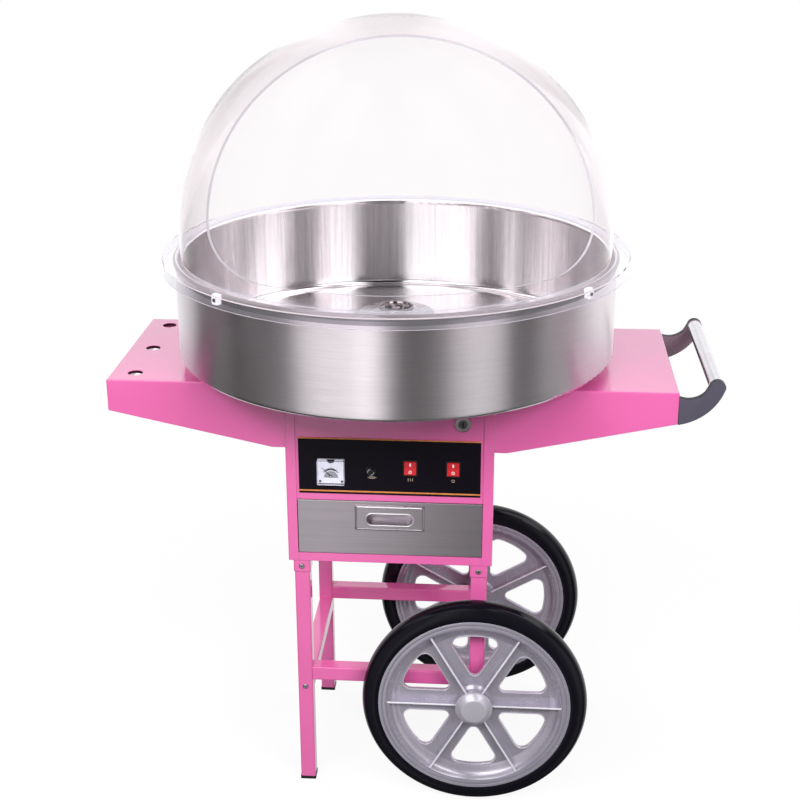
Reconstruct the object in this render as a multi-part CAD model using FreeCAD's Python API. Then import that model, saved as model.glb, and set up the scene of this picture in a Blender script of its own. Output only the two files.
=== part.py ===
import FreeCAD, Part
import math
import os

# Electric candy floss machine on a two-wheeled cart.  Millimetres, +Z up, front towards -Y.
# Everything is laid out about the axis of the pan, and moved at export so that the middle
# of the whole machine's footprint is the origin.

V = FreeCAD.Vector
X_AXIS = V(1, 0, 0)
Y_AXIS = V(0, 1, 0)
Z_AXIS = V(0, 0, 1)
CENTRE = V(0, 0, 0)

# ---------------------------------------------------------------- driving dimensions
# sheet metal and fits
SHEET = 1.5                 # painted steel sheet
FOLD_R = 2.0                # outside radius of a fold in the sheet
SEAM = 0.5                  # gap round the drawer front and under overlays
MOVING_GAP = 0.3            # gap between things that pass each other
RUN_FIT = 0.05              # radial clearance of a shaft in its bore
SCREW_R = 2.5               # shank of the panel screws
SCREW_HEAD_R = 4.5
SCREW_HEAD_T = 2.6
SCREW_CROWN_R = 1.6         # rounding of the head
SCREW_GRIP = 9.0            # shank length under the head
SHORT_GRIP = 6.0
QUARTER_TURN = 90.0
OVERRUN = 1.0               # how far a cut runs on past a face

# cabinet
CAB_WIDTH = 332.0
CAB_DEPTH = 316.0
CAB_HEIGHT = 307.0
CAB_UNDERSIDE_Z = 427.0
FRONT_FLANGE = 16.5         # folded front edge of a side panel
REAR_FLANGE = 14.0
FLOOR_LIP = 14.5            # upturned front edge of the cabinet floor
DRAWER_OPENING_H = 95.5
DECK_RISE = 4.0             # motor deck above the drawer opening
DECK_LIP = 12.0
LOUVRE_COUNT = 6
LOUVRE_PITCH = 12.0
LOUVRE_H = 4.0
LOUVRE_L = 150.0
SLOT_ROUNDING = 0.45        # corner radius of a slot as a share of its width
LOUVRE_RISE = 11.0          # centre of the lowest louvre above the motor deck
VENT_COUNT = 9
VENT_PITCH = 11.0
VENT_W = 4.0
VENT_H = 46.0
VENT_DROP = 79.0            # centre of the vents below the cabinet top
SPINDLE_PORT_R = 25.0       # hole in the cabinet top

# shelves
SHELF_REACH = 281.0
SKIRT_TIP_H = 51.0
SKIRT_ROOT_H = 107.0
SKIRT_FLAT = 20.0           # level stretch of the skirt beside the cabinet
SHELF_ROOT_FLANGE = 34.0
CONE_HOLE_R = 12.0
CONE_HOLE_PITCH = 122.5
CONE_HOLE_INSET = 38.5
CONE_HOLE_COUNT = 3

# push handle
BRACKET_T = 10.0
BRACKET_ROOT_H = 45.0
BRACKET_ROOT_DROP = 7.0     # top of the bracket's root below the shelf top
BRACKET_END_R = 12.4
BRACKET_DIP = (21.0, 2.2)   # lowest point of the upper edge: beyond the shelf, below the root
BRACKET_THROAT = (18.0, 8.0)    # where the upper edge turns up: before the grip axis, above the root
BRACKET_BEND = (14.8, 14.0)
BRACKET_BELLY = (14.0, 20.0)    # middle of the lower edge: before the grip axis, above the foot
BRACKET_NECK_TURN = 14.0    # degrees above level at which the upper edge meets the round end
GRIP_OUT = 56.7             # grip axis beyond the shelf's end
GRIP_RISE = 9.3             # grip axis above the shelf top
GRIP_R = 11.4
GRIP_WALL = 1.5
SPIGOT_L = 12.0

# legs and rails
TUBE = 25.0
TUBE_WALL = 1.5
TUBE_CORNER_R = 2.2
LEG_INSET = 9.0             # outer face of a leg inside the cabinet's side
FRONT_LEG_INSET = 0.8       # front leg's sleeve inside the cabinet's front
REAR_LEG_INSET = 4.5        # rear leg's sleeve inside the cabinet's back
SLEEVE_H = 21.0
SLEEVE_WALL = 1.5
FOOT_T = 5.0
FOOT_LIP = 0.8
FOOT_PLUG_H = 10.0
FOOT_CORNER_R = 2.0
LEG_BELOW_AXLE = 21.0       # how far the wheel-side legs run on below the axle
RAIL_PLUG_T = 8.0           # welded plug in each end of a side rail

# wheels and axle
WHEEL_R = 187.0
FRONT_WHEEL_GAP = 4.0       # leg sleeve to tyre
REAR_WHEEL_GAP = 15.0
AXLE_SETBACK = 2.8          # axle inboard of the legs' middle
TYRE_HALF_W = 19.0
TYRE_SHOULDER_DROP = 5.5    # the tread's edge below its crown
TYRE_SHOULDER_INSET = 4.2   # the tread's edge inside the widest part of the tyre
TYRE_BELLY_DROP = 16.0      # widest part of the tyre below its crown
TYRE_DEPTH = 28.0           # crown of the tyre to the edge of the rim
TYRE_SEAT_DEPTH = 7.0       # tyre's seat below the edge of the rim
RIM_WALL = 6.0
RIM_SETBACK = 0.5           # rim's face inside the widest part of the tyre
RIM_FLANGE_T = 4.0
WEB_T = 6.0
WEB_OFFSET = 0.5            # middle of the web inboard of the middle of the wheel
SPOKE_COUNT = 6
SPOKE_W = 41.0
WINDOW_BAND = 23.0          # web left outside the windows
WINDOW_TIP_FILLET = 9.0
WINDOW_CORNER_FILLET = 13.0
WINDOW_EDGE_R = 1.6
RIB_T = 2.6
RIB_ROOT = 2.0              # rib sunk into the hub
RIB_SETBACK = 2.5           # rib edge below the rim's face
HUB_R = 27.0
HUB_OUTBOARD = 23.0
HUB_INBOARD = 18.0
CAP_H = 12.0
CAP_FACE_R = 20.0
CAP_COLLAR_H = 4.2          # straight side of the cap before it curves in
CAP_BULGE = (1.5, 2.4)      # middle of the curve outside and behind the straight line
CAP_WALL = 3.0
AXLE_R = 8.0
NUT_R = 13.0
NUT_T = 6.0
WASHER_R = 15.0
SPACER_R = 11.5
SPACER_PITCH = 5.0
FRONT_WHEEL_TURN = 30.0     # degrees from a spoke standing upright
REAR_WHEEL_TURN = 0.0

# control panel
MID_RAIL = 12.0             # fascia showing between the drawer and the control panel
PANEL_W = 290.0
PANEL_H = 96.0
METER_X = -93.0
METER_DZ = -8.5             # instrument heights are from the middle of the panel
METER_W = 44.0
METER_H = 42.0
METER_FRAME_T = 3.0
METER_CORNER_R = 2.0
METER_LENS_D = 7.0
METER_LENS_WALL = 1.2
METER_BODY_R = 17.5
METER_BODY_D = 30.0
METER_PIVOT_R = 1.0
METER_PIVOT_DZ = -8.0       # needle pivot below the middle of the meter
NEEDLE_L = 21.0
NEEDLE_W = 1.0
NEEDLE_T = 0.6
NEEDLE_HUB_R = 2.4
NEEDLE_REST = 45.0          # degrees left of upright at zero
FUSE_X = -29.0
FUSE_DZ = -6.0
FUSE_FLANGE_R = 8.5
FUSE_FLANGE_T = 2.5
FUSE_BODY_R = 6.5
FUSE_BODY_D = 32.0
FUSE_STEM_R = 4.4
FUSE_STEM_L = 18.0
FUSE_CAP_R = 6.0
FUSE_CAP_T = 5.0
FUSE_SLOT_W = 1.2
FUSE_SLOT_D = 1.8
SWITCH_X = (33.5, 101.5)
SWITCH_DZ = 0.5
ROCKER_HALF_W = 9.5
ROCKER_R = 11.5             # radius of the rocker's ends about its pivot
ROCKER_END_RISE = 5.0
ROCKER_MID_RISE = 2.4
ROCKER_DEPTH = 6.0
ROCKER_TILT = 7.0
BEZEL_EDGE = 2.2
BEZEL_T = 2.5
BEZEL_CORNER_R = 1.5
PIVOT_PROUD = 0.75          # rocker's pivot in front of the panel
SWITCH_BODY_D = 20.0
TRUNNION_R = 1.5
TRUNNION_L = 1.2
LOCK_X = 116.0
LOCK_RISE = 29.0            # lock above the control panel
LOCK_BEZEL_R = 13.0
LOCK_BEZEL_T = 4.0
LOCK_BEZEL_ROUND = 2.0
LOCK_BODY_R = 9.5
LOCK_BODY_D = 20.0
LOCK_PLUG_R = 7.0
LOCK_PLUG_PROUD = 1.0
KEYWAY_W = 2.0
KEYWAY_H = 8.0
KEYWAY_D = 3.0
CAM_L = 30.0
CAM_W = 12.0
CAM_T = 2.0
CAM_CORNER_R = 3.6

# drawer
DRAWER_RETURN = 12.0        # folded edge behind the drawer front
DRAWER_EDGE_R = 1.2
TRAY_SHEET = 1.2
TRAY_L = 285.0
TRAY_BOTTOM_RISE = 23.0     # tray above the cabinet floor
TRAY_H = 64.0
TRAY_LIP = 9.0
RUNNER_TRAY_GAP = 2.0
RUNNER_L = 290.0
RUNNER_W = 26.5             # cabinet wall to the edge of a runner
RUNNER_KEEPER = 1.5
PULL_W = 112.0
PULL_H = 44.0
PULL_T = 2.0
PULL_CHAMFER = 1.4
PULL_DZ = 19.5              # pull above the middle of the drawer front
POCKET_W = 76.0
POCKET_H = 20.0
POCKET_DEPTH = 16.0
POCKET_WALL = 1.2
POCKET_DZ = -3.0

# pan
PAN_R = 353.0
PAN_SHEET = 1.2
PAN_H = 157.0               # underside to the middle of the rolled rim
PAN_CORNER_R = 9.0
RIM_BEAD_R = 4.0
PAN_HOLE_R = 45.0
PAN_NECK_H = 7.0
SEAT_H = 16.0
SEAT_R = 100.0
PAN_SCREW_PCD_R = 80.0
PAN_SCREW_COUNT = 4

# dome
DOME_INSET = 8.5            # dome's wall inside the pan's
DOME_SHEET = 3.0
DOME_WALL_H = 41.0          # straight wall above the flange
DOME_CROWN_H = 324.0
DOME_OVERHANG = 21.0        # flange beyond the pan's wall
DOME_SKIRT_H = 15.0
DOME_TURN = 7.0             # degrees the opening is turned towards +X
OPENING_LIP_H = 22.0        # clear wall left below the opening, above the flange
OPENING_SLOPE = 0.285       # how far the opening's edge leans back per unit of height
OPENING_DEPTH = 139.5       # dome's front to where the leaning edge would meet the lip
OPENING_CORNER_R = 100.0
CLIP_ANGLE = 48.5           # each side of the opening's middle
CLIP_W = 13.0
CLIP_H = 14.0
CLIP_T = 7.5
CLIP_CORNER_R = 2.0
CLIP_INNER_GAP = 1.5        # clip clear of the rolled rim
CLIP_SCREW_R = 1.6
CLIP_SCREW_HEAD_R = 3.0
CLIP_SCREW_HEAD_T = 1.5

# motor
MOTOR_BASE_R = 70.0
MOTOR_BASE_T = 4.0
MOTOR_BOLT_PCD_R = 62.0
MOTOR_BOLT_COUNT = 4
MOTOR_R = 55.0
MOTOR_WALL = 3.0
MOTOR_H = 94.0
MOTOR_CAP_T = 10.0
BEARING_R = 11.0
BEARING_T = 7.0
BEARING_BOSS_R = 17.0
BEARING_BOSS_H = 8.0
SPINDLE_R = 6.0
SPINDLE_PORT_GAP = 2.0      # spindle clear of the end cap's hole
ROTOR_R = 33.5
STATOR_GAP = 0.8
CORE_H = 50.0
CORE_RISE = 24.0
SLIP_SLEEVE_R = 12.0
SLIP_RING_R = 17.0
SLIP_RING_H = 10.0
SLIP_RING_PITCH = 20.0
SLIP_RISE = 10.0            # slip ring sleeve above the motor's end cap
BRUSH_HALF_W = 3.5
BRUSH_H = 6.0
BRUSH_L = 16.0
HOLDER_HALF_W = 8.0
HOLDER_L = 28.0
HOLDER_STANDOFF = 7.0
HOLDER_RISE = 2.0           # holder above the upper slip ring

# spinner head
HEAD_R = 62.0
HEAD_CLEAR = 4.8            # head above the pan's neck
HEAD_BASE_T = 4.0
HEAD_HUB_R = 13.0
HEAD_HUB_DROP = 9.0
HEAD_POST_R = 4.0
HEAD_POST_PCD_R = 42.0
HEAD_POST_COUNT = 3
BAND_T = 1.2
BAND_H = 38.0
BAND_SLOTS = 30
BAND_SLOT_W = 3.0
BAND_SLOT_MARGIN = 6.0
HEATER_R = 53.0
HEATER_T = 1.5
HEATER_SLOTS = 20
HEATER_SLOT_W = 4.0
HEATER_END_GAP = 5.0
LID_T = 1.5
LID_RISE = 9.0
LID_MOUTH_R = 28.0
LID_COLLAR_H = 4.0
SPINDLE_NUT_R = 10.0
SPINDLE_NUT_T = 6.0
SPINDLE_TIP = 2.0           # spindle standing out of its nut

# power inlet
INLET_X = 95.0
INLET_RISE = 49.0           # above the motor deck
INLET_W = 50.0
INLET_H = 30.0
INLET_FLANGE_T = 2.0
INLET_CORNER_R = 3.0
INLET_BODY_W = 30.0
INLET_BODY_H = 24.0
INLET_BODY_D = 24.0
INLET_RECESS_W = 25.0
INLET_RECESS_H = 17.0
INLET_RECESS_D = 16.0
INLET_PIN_W = 2.0
INLET_PIN_H = 4.0
INLET_PIN_L = 13.0
INLET_PIN_PITCH = 7.0
INLET_PIN_STEP = 1.5        # middle pin above and outer pins below the inlet's middle

# ---------------------------------------------------------------- places worked out from them
half_w = CAB_WIDTH / 2
front_y = -CAB_DEPTH / 2
back_y = CAB_DEPTH / 2
top_z = CAB_UNDERSIDE_Z + CAB_HEIGHT
inner_x = half_w - SHEET
opening_half_w = half_w - FRONT_FLANGE
opening_z0 = CAB_UNDERSIDE_Z + FLOOR_LIP
opening_z1 = opening_z0 + DRAWER_OPENING_H
tray_half_w = inner_x - RUNNER_W - RUNNER_TRAY_GAP
deck_z = opening_z1 + DECK_RISE
fascia_y = front_y + SHEET
shelf_end_x = half_w + SHELF_REACH
grip_x = shelf_end_x + GRIP_OUT
grip_z = top_z + GRIP_RISE
leg_x = half_w - LEG_INSET - TUBE / 2
front_leg_y = front_y + FRONT_LEG_INSET + SLEEVE_WALL + TUBE / 2
rear_leg_y = back_y - REAR_LEG_INSET - SLEEVE_WALL - TUBE / 2
axle_z = WHEEL_R
rim_r = WHEEL_R - TYRE_DEPTH
tyre_seat_r = rim_r - TYRE_SEAT_DEPTH
rim_inner_r = tyre_seat_r - RIM_WALL
rim_half_w = TYRE_HALF_W - RIM_SETBACK
window_outer_r = rim_inner_r - WINDOW_BAND
side_rail_z = axle_z
cross_rail_z = side_rail_z + TUBE
axle_x = leg_x - AXLE_SETBACK
wheel_y = front_leg_y - TUBE / 2 - SLEEVE_WALL - FRONT_WHEEL_GAP - TYRE_HALF_W
rear_wheel_y = rear_leg_y + TUBE / 2 + SLEEVE_WALL + REAR_WHEEL_GAP + TYRE_HALF_W
panel_z = opening_z1 + MID_RAIL + PANEL_H / 2
lock_z = panel_z + PANEL_H / 2 + LOCK_RISE
pan_z = top_z + SEAT_H
floor_top_z = pan_z + PAN_SHEET
rim_z = pan_z + PAN_H
flange_z = rim_z + RIM_BEAD_R + MOVING_GAP
dome_r = PAN_R - DOME_INSET
dome_flange_r = PAN_R + DOME_OVERHANG
motor_z = deck_z + SHEET
louvre_z = deck_z + LOUVRE_RISE
vent_z = top_z - VENT_DROP
inlet_z = deck_z + INLET_RISE
cap_z = motor_z + MOTOR_H
cap_top_z = cap_z + MOTOR_CAP_T
head_z = pan_z + PAN_NECK_H + HEAD_CLEAR
band_z = head_z + HEAD_BASE_T
lid_z = band_z + BAND_H
row_x = -(grip_x + BRACKET_END_R - shelf_end_x) / 2


# ---------------------------------------------------------------- shape helpers
def block(x0, x1, y0, y1, z0, z1):
    return Part.makeBox(x1 - x0, y1 - y0, z1 - z0, V(x0, y0, z0))


def post(r, z0, z1, x=0, y=0):
    return Part.makeCylinder(r, z1 - z0, V(x, y, z0), Z_AXIS)


def rod_y(r, y0, y1, x, z):
    return Part.makeCylinder(r, y1 - y0, V(x, y0, z), Y_AXIS)


def rod_x(r, x0, x1, y, z):
    return Part.makeCylinder(r, x1 - x0, V(x0, y, z), X_AXIS)


def ring(outer_r, inner_r, z0, z1, x=0, y=0):
    return post(outer_r, z0, z1, x, y).cut(post(inner_r, z0, z1, x, y))


def outline(start, *steps):
    """Closed face: each step is a point for a straight edge, or (middle, end) for an arc."""
    edges = []
    here = start
    for step in steps + (start,):
        if isinstance(step, tuple):
            edges.append(Part.Arc(here, step[0], step[1]).toShape())
            here = step[1]
        elif here.distanceToPoint(step) > 1e-6:
            edges.append(Part.LineSegment(here, step).toShape())
            here = step
    return Part.Face(Part.Wire(edges))


def spun(face, axis=Z_AXIS):
    return face.revolve(CENTRE, axis, 360)


def rz(r, z):
    return V(r, 0, z)


def mirrored_x(shape):
    return shape.mirror(CENTRE, X_AXIS)


def mirrored_y(shape):
    return shape.mirror(CENTRE, Y_AXIS)


def turned(shape, degrees, axis=Z_AXIS, about=CENTRE):
    copy = shape.copy()
    copy.rotate(about, axis, degrees)
    return copy


def around(shape, count, axis=Z_AXIS, about=CENTRE):
    return [turned(shape, 360.0 * i / count, axis, about) for i in range(count)]


def edges_along(shape, direction):
    """The straight edges that run along one direction."""
    found = []
    for edge in shape.Edges:
        if edge.Curve.TypeId == "Part::GeomLine":
            along = edge.tangentAt(edge.FirstParameter)
            if abs(abs(along.dot(direction)) - 1) < 1e-6:
                found.append(edge)
    return found


def edges_in_plane(shape, axis, value):
    """Edges that lie in the plane where one coordinate (0, 1, 2) has a value."""
    return [e for e in shape.Edges
            if abs(e.CenterOfMass[axis] - value) < 1e-6
            and all(abs(v.Point[axis] - value) < 1e-6 for v in e.Vertexes)]


def rounded(shape, r, direction):
    return shape.makeFillet(r, edges_along(shape, direction))


def cut_all(shape, tools):
    return shape.cut(Part.makeCompound(tools)) if tools else shape


def fused(first, *others):
    return first.fuse(list(others)).removeSplitter()


def screw(head_point, into, grip=SCREW_GRIP):
    """Pan-head screw: head_point is where the head meets the sheet, into is the way it goes."""
    shank = Part.makeCylinder(SCREW_R, grip, head_point, into)
    head = Part.makeCylinder(SCREW_HEAD_R, SCREW_HEAD_T, head_point - into * SCREW_HEAD_T, into)
    edge = [e for e in head.Edges if e.Curve.TypeId == "Part::GeomCircle"
            and abs((e.Curve.Center - head_point).Length - SCREW_HEAD_T) < 1e-6]
    return head.makeFillet(SCREW_CROWN_R, edge).fuse(shank)


def drilled(shape, spots, depth=SCREW_GRIP):
    """Clearance-free screw holes, from one head height outside each spot down to a depth."""
    tools = []
    for point, into in spots:
        start = point - into * SCREW_HEAD_T
        tools.append(Part.makeCylinder(SCREW_R, SCREW_HEAD_T + depth, start, into))
    return cut_all(shape, tools)


# ---------------------------------------------------------------- where the screws go
def sleeve_spots():
    z = CAB_UNDERSIDE_Z - SLEEVE_H / 2
    front = front_leg_y - TUBE / 2 - SLEEVE_WALL
    rear = rear_leg_y + TUBE / 2 + SLEEVE_WALL
    spots = []
    for x in (-leg_x, leg_x):
        spots.append((V(x, front, z), Y_AXIS))
        spots.append((V(x, rear, z), -Y_AXIS))
    return spots


def side_rail_spots():
    return [(V(-leg_x, front_leg_y - TUBE / 2, side_rail_z), Y_AXIS),
            (V(-leg_x, rear_leg_y + TUBE / 2, side_rail_z), -Y_AXIS)]


def through_bolt(point, into):
    """Screw long enough to pass through a leg into the plug of its side rail."""
    return screw(point, into, TUBE + RAIL_PLUG_T)


def back_spots():
    x = half_w - REAR_FLANGE / 2
    heights = [CAB_UNDERSIDE_Z + CAB_HEIGHT * share for share in (0.1, 0.5, 0.9)]
    return [(V(sx * x, back_y, z), -Y_AXIS) for sx in (-1, 1) for z in heights]


def shelf_spots():
    z = top_z - SHELF_ROOT_FLANGE / 2
    reach = CAB_DEPTH / 3
    spots = []
    for y in (-reach, 0, reach):
        spots.append((V(-half_w - SHEET, y, z), X_AXIS))
        spots.append((V(half_w + SHEET, y, z), -X_AXIS))
    return spots


def handle_spots():
    x = shelf_end_x - SHEET
    z = top_z - BRACKET_ROOT_DROP - BRACKET_ROOT_H / 2
    rise = BRACKET_ROOT_H / 4
    y = CAB_DEPTH / 2 - SHEET - SCREW_HEAD_R - MOVING_GAP
    return [(V(x, sy * y, z + dz), X_AXIS) for sy in (-1, 1) for dz in (-rise, rise)]


def pan_spots():
    spots = []
    for i in range(PAN_SCREW_COUNT):
        a = 2 * math.pi * (i + 0.5) / PAN_SCREW_COUNT
        x = PAN_SCREW_PCD_R * math.cos(a)
        y = PAN_SCREW_PCD_R * math.sin(a)
        spots.append((V(x, y, floor_top_z), -Z_AXIS))
    return spots


def motor_spots():
    spots = []
    for i in range(MOTOR_BOLT_COUNT):
        a = 2 * math.pi * (i + 0.5) / MOTOR_BOLT_COUNT
        x = MOTOR_BOLT_PCD_R * math.cos(a)
        y = MOTOR_BOLT_PCD_R * math.sin(a)
        spots.append((V(x, y, motor_z + MOTOR_BASE_T), -Z_AXIS))
    return spots


def frame_screws():
    short = sleeve_spots() + back_spots() + handle_spots()
    screws = [screw(point, into) for point, into in short]
    screws += [through_bolt(point, into) for point, into in side_rail_spots()]
    screws += [screw(point, into, SHORT_GRIP) for point, into in shelf_spots() + motor_spots()]
    screws += [screw(point, into, SEAT_H + SHORT_GRIP) for point, into in pan_spots()]
    return screws


# ---------------------------------------------------------------- cabinet
def right_side_panel():
    z0 = CAB_UNDERSIDE_Z
    z1 = top_z - SHEET
    wall = block(inner_x, half_w, front_y, back_y, z0, z1)
    front = block(half_w - FRONT_FLANGE, half_w, front_y, front_y + SHEET, z0, z1)
    rear = block(half_w - REAR_FLANGE, half_w, back_y - SHEET, back_y, z0, z1)
    panel = fused(wall, front, rear)
    folds = [e for e in edges_along(panel, Z_AXIS) if abs(e.CenterOfMass.x - half_w) < 1e-6]
    panel = panel.makeFillet(FOLD_R, folds)
    slots = []
    for i in range(LOUVRE_COUNT):
        z = louvre_z + i * LOUVRE_PITCH
        slot = block(inner_x - OVERRUN, half_w + OVERRUN, -LOUVRE_L / 2, LOUVRE_L / 2,
                     z - LOUVRE_H / 2, z + LOUVRE_H / 2)
        slots.append(rounded(slot, LOUVRE_H * SLOT_ROUNDING, X_AXIS))
    return drilled(cut_all(panel, slots), shelf_spots() + back_spots())


def back_panel():
    y1 = back_y - SHEET
    panel = block(-inner_x, inner_x, y1 - SHEET, y1, CAB_UNDERSIDE_Z + SHEET, top_z - SHEET)
    slots = []
    for i in range(VENT_COUNT):
        x = (i - (VENT_COUNT - 1) / 2) * VENT_PITCH
        slot = block(x - VENT_W / 2, x + VENT_W / 2, y1 - 2 * SHEET, y1 + SHEET,
                     vent_z - VENT_H / 2, vent_z + VENT_H / 2)
        slots.append(rounded(slot, VENT_W * SLOT_ROUNDING, Y_AXIS))
    inlet = block(INLET_X - INLET_BODY_W / 2, INLET_X + INLET_BODY_W / 2, y1 - 2 * SHEET, y1 + SHEET,
                  inlet_z - INLET_BODY_H / 2, inlet_z + INLET_BODY_H / 2)
    return drilled(cut_all(panel, slots + [inlet]), back_spots())


def cabinet_floor():
    """Floor with its upturned front edge, and the four leg sleeves welded under it."""
    z0 = CAB_UNDERSIDE_Z
    plate = block(-inner_x, inner_x, front_y + SHEET, back_y - 2 * SHEET, z0, z0 + SHEET)
    lip = block(-opening_half_w, opening_half_w, front_y, front_y + SHEET, z0, z0 + FLOOR_LIP)
    sleeves = []
    half = TUBE / 2 + SLEEVE_WALL
    for x in (-leg_x, leg_x):
        for y in (front_leg_y, rear_leg_y):
            outer = block(x - half, x + half, y - half, y + half, z0 - SLEEVE_H, z0)
            outer = rounded(outer, TUBE_CORNER_R, Z_AXIS)
            inner = block(x - TUBE / 2, x + TUBE / 2, y - TUBE / 2, y + TUBE / 2, z0 - SLEEVE_H, z0)
            sleeves.append(outer.cut(inner))
    return drilled(fused(plate, lip, *sleeves), sleeve_spots())


def front_fascia():
    sheet = block(-inner_x, inner_x, fascia_y, fascia_y + SHEET, opening_z1, top_z - SHEET)
    lock_hole = rod_y(LOCK_BODY_R, fascia_y - SHEET, fascia_y + 2 * SHEET, LOCK_X, lock_z)
    return cut_all(sheet, panel_holes() + [lock_hole])


def cabinet_top():
    plate = rounded(block(-half_w, half_w, front_y, back_y, top_z - SHEET, top_z), FOLD_R, Z_AXIS)
    port = post(SPINDLE_PORT_R, top_z - 2 * SHEET, top_z + SHEET)
    return drilled(plate.cut(port), pan_spots(), SEAT_H + SHORT_GRIP)


def motor_deck():
    y0 = fascia_y + SHEET
    y1 = back_y - 2 * SHEET
    plate = block(-inner_x, inner_x, y0, y1, deck_z, deck_z + SHEET)
    lip = block(inner_x - SHEET, inner_x, y0, y1, deck_z, deck_z + DECK_LIP)
    return drilled(fused(plate, lip, mirrored_x(lip)), motor_spots())


# ---------------------------------------------------------------- shelves and handle
def shelf_block(inset):
    """Solid with the shelf's side outline, its top, end and skirts moved in by inset."""
    z0 = top_z - SKIRT_ROOT_H
    y0 = front_y + inset
    slope = (SKIRT_ROOT_H - SKIRT_TIP_H) / (SHELF_REACH - SKIRT_FLAT)
    tip_z = top_z - SKIRT_TIP_H - inset * slope
    x1 = shelf_end_x - inset
    z1 = top_z - inset
    face = outline(V(half_w, y0, z1), V(x1, y0, z1), V(x1, y0, tip_z),
                   V(half_w + SKIRT_FLAT, y0, z0), V(half_w, y0, z0))
    return face.extrude(V(0, CAB_DEPTH - 2 * inset, 0))


def plain_shelf():
    outer = shelf_block(0)
    lowest = top_z - SKIRT_TIP_H + OVERRUN
    end_folds = [e for e in edges_in_plane(outer, 0, shelf_end_x) if e.CenterOfMass.z > lowest]
    side_folds = [e for e in edges_along(outer, X_AXIS) if abs(e.CenterOfMass.z - top_z) < 1e-6]
    shell = outer.makeFillet(FOLD_R, end_folds + side_folds).cut(shelf_block(SHEET))
    root = block(half_w, half_w + SHEET, front_y + SHEET, back_y - SHEET,
                 top_z - SHELF_ROOT_FLANGE, top_z - SHEET)
    return drilled(fused(shell, root), shelf_spots())


def right_shelf():
    return drilled(plain_shelf(), handle_spots())


def cone_hole_ys():
    return [(i - (CONE_HOLE_COUNT - 1) / 2) * CONE_HOLE_PITCH for i in range(CONE_HOLE_COUNT)]


def left_shelf():
    x = -shelf_end_x + CONE_HOLE_INSET
    holes = [post(CONE_HOLE_R, top_z - 2 * SHEET, top_z + SHEET, x, y) for y in cone_hole_ys()]
    return cut_all(mirrored_x(plain_shelf()), holes)


def handle_bracket(y0):
    """Curved plate from the shelf's end up to the grip, seen along Y."""
    root_z = top_z - BRACKET_ROOT_DROP
    foot_z = root_z - BRACKET_ROOT_H
    turn = math.radians(BRACKET_NECK_TURN)
    neck = V(grip_x - BRACKET_END_R * math.cos(turn), y0, grip_z + BRACKET_END_R * math.sin(turn))
    heel = V(grip_x + BRACKET_END_R, y0, grip_z)
    crown = V(grip_x, y0, grip_z + BRACKET_END_R)
    dip = V(shelf_end_x + BRACKET_DIP[0], y0, root_z - BRACKET_DIP[1])
    throat = V(grip_x - BRACKET_THROAT[0], y0, root_z + BRACKET_THROAT[1])
    bend = V(grip_x - BRACKET_BEND[0], y0, root_z + BRACKET_BEND[1])
    belly = V(grip_x - BRACKET_BELLY[0], y0, foot_z + BRACKET_BELLY[1])
    face = outline(V(shelf_end_x, y0, root_z), (dip, throat), (bend, neck), (crown, heel),
                   (belly, V(shelf_end_x, y0, foot_z)))
    return face.extrude(V(0, BRACKET_T, 0))


def front_handle_bracket():
    plate = handle_bracket(front_y)
    y1 = front_y + BRACKET_T
    spigot = rod_y(GRIP_R - GRIP_WALL, y1, y1 + SPIGOT_L, grip_x, grip_z)
    return drilled(fused(plate, spigot), handle_spots())


def handle_grip():
    y0 = front_y + BRACKET_T
    tube = rod_y(GRIP_R, y0, -y0, grip_x, grip_z)
    return tube.cut(rod_y(GRIP_R - GRIP_WALL, y0, -y0, grip_x, grip_z))


# ---------------------------------------------------------------- legs and rails
def square_tube(x0, x1, y0, y1, z0, z1, axis):
    """Tube of the stock wall along X, Y or Z (axis 0, 1, 2)."""
    low = [x0, y0, z0]
    high = [x1, y1, z1]
    for i in range(3):
        if i != axis:
            low[i] += TUBE_WALL
            high[i] -= TUBE_WALL
    core = block(low[0], high[0], low[1], high[1], low[2], high[2])
    return rounded(block(x0, x1, y0, y1, z0, z1), TUBE_CORNER_R, (X_AXIS, Y_AXIS, Z_AXIS)[axis]).cut(core)


def leg(x, y, z0):
    half = TUBE / 2
    tube = square_tube(x - half, x + half, y - half, y + half, z0, CAB_UNDERSIDE_Z, 2)
    bolts = [through_bolt(point, into) for point, into in side_rail_spots()]
    return cut_all(drilled(tube, sleeve_spots()), bolts)


def wheel_side_leg(y):
    axle_hole = rod_y(AXLE_R, y - TUBE, y + TUBE, axle_x, axle_z)
    return leg(leg_x, y, axle_z - LEG_BELOW_AXLE).cut(axle_hole)


def cross_rails():
    half = TUBE / 2
    x = leg_x - half
    return [square_tube(-x, x, y - half, y + half, cross_rail_z - half, cross_rail_z + half, 0)
            for y in (front_leg_y, rear_leg_y)]


def side_rails():
    half = TUBE / 2
    y0 = front_leg_y + half
    y1 = rear_leg_y - half
    rails = []
    for x in (-leg_x, leg_x):
        tube = square_tube(x - half, x + half, y0, y1, side_rail_z - half, side_rail_z + half, 1)
        plugs = []
        for y in (y0, y1 - RAIL_PLUG_T):
            plugs.append(block(x - half + TUBE_WALL, x + half - TUBE_WALL, y, y + RAIL_PLUG_T,
                               side_rail_z - half + TUBE_WALL, side_rail_z + half - TUBE_WALL))
        rails.append(fused(tube, *plugs))
    left, right = rails
    bolts = [through_bolt(point, into) for point, into in side_rail_spots()]
    return [cut_all(left, bolts), right.cut(rod_y(AXLE_R, y0, y1, axle_x, axle_z))]


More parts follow.
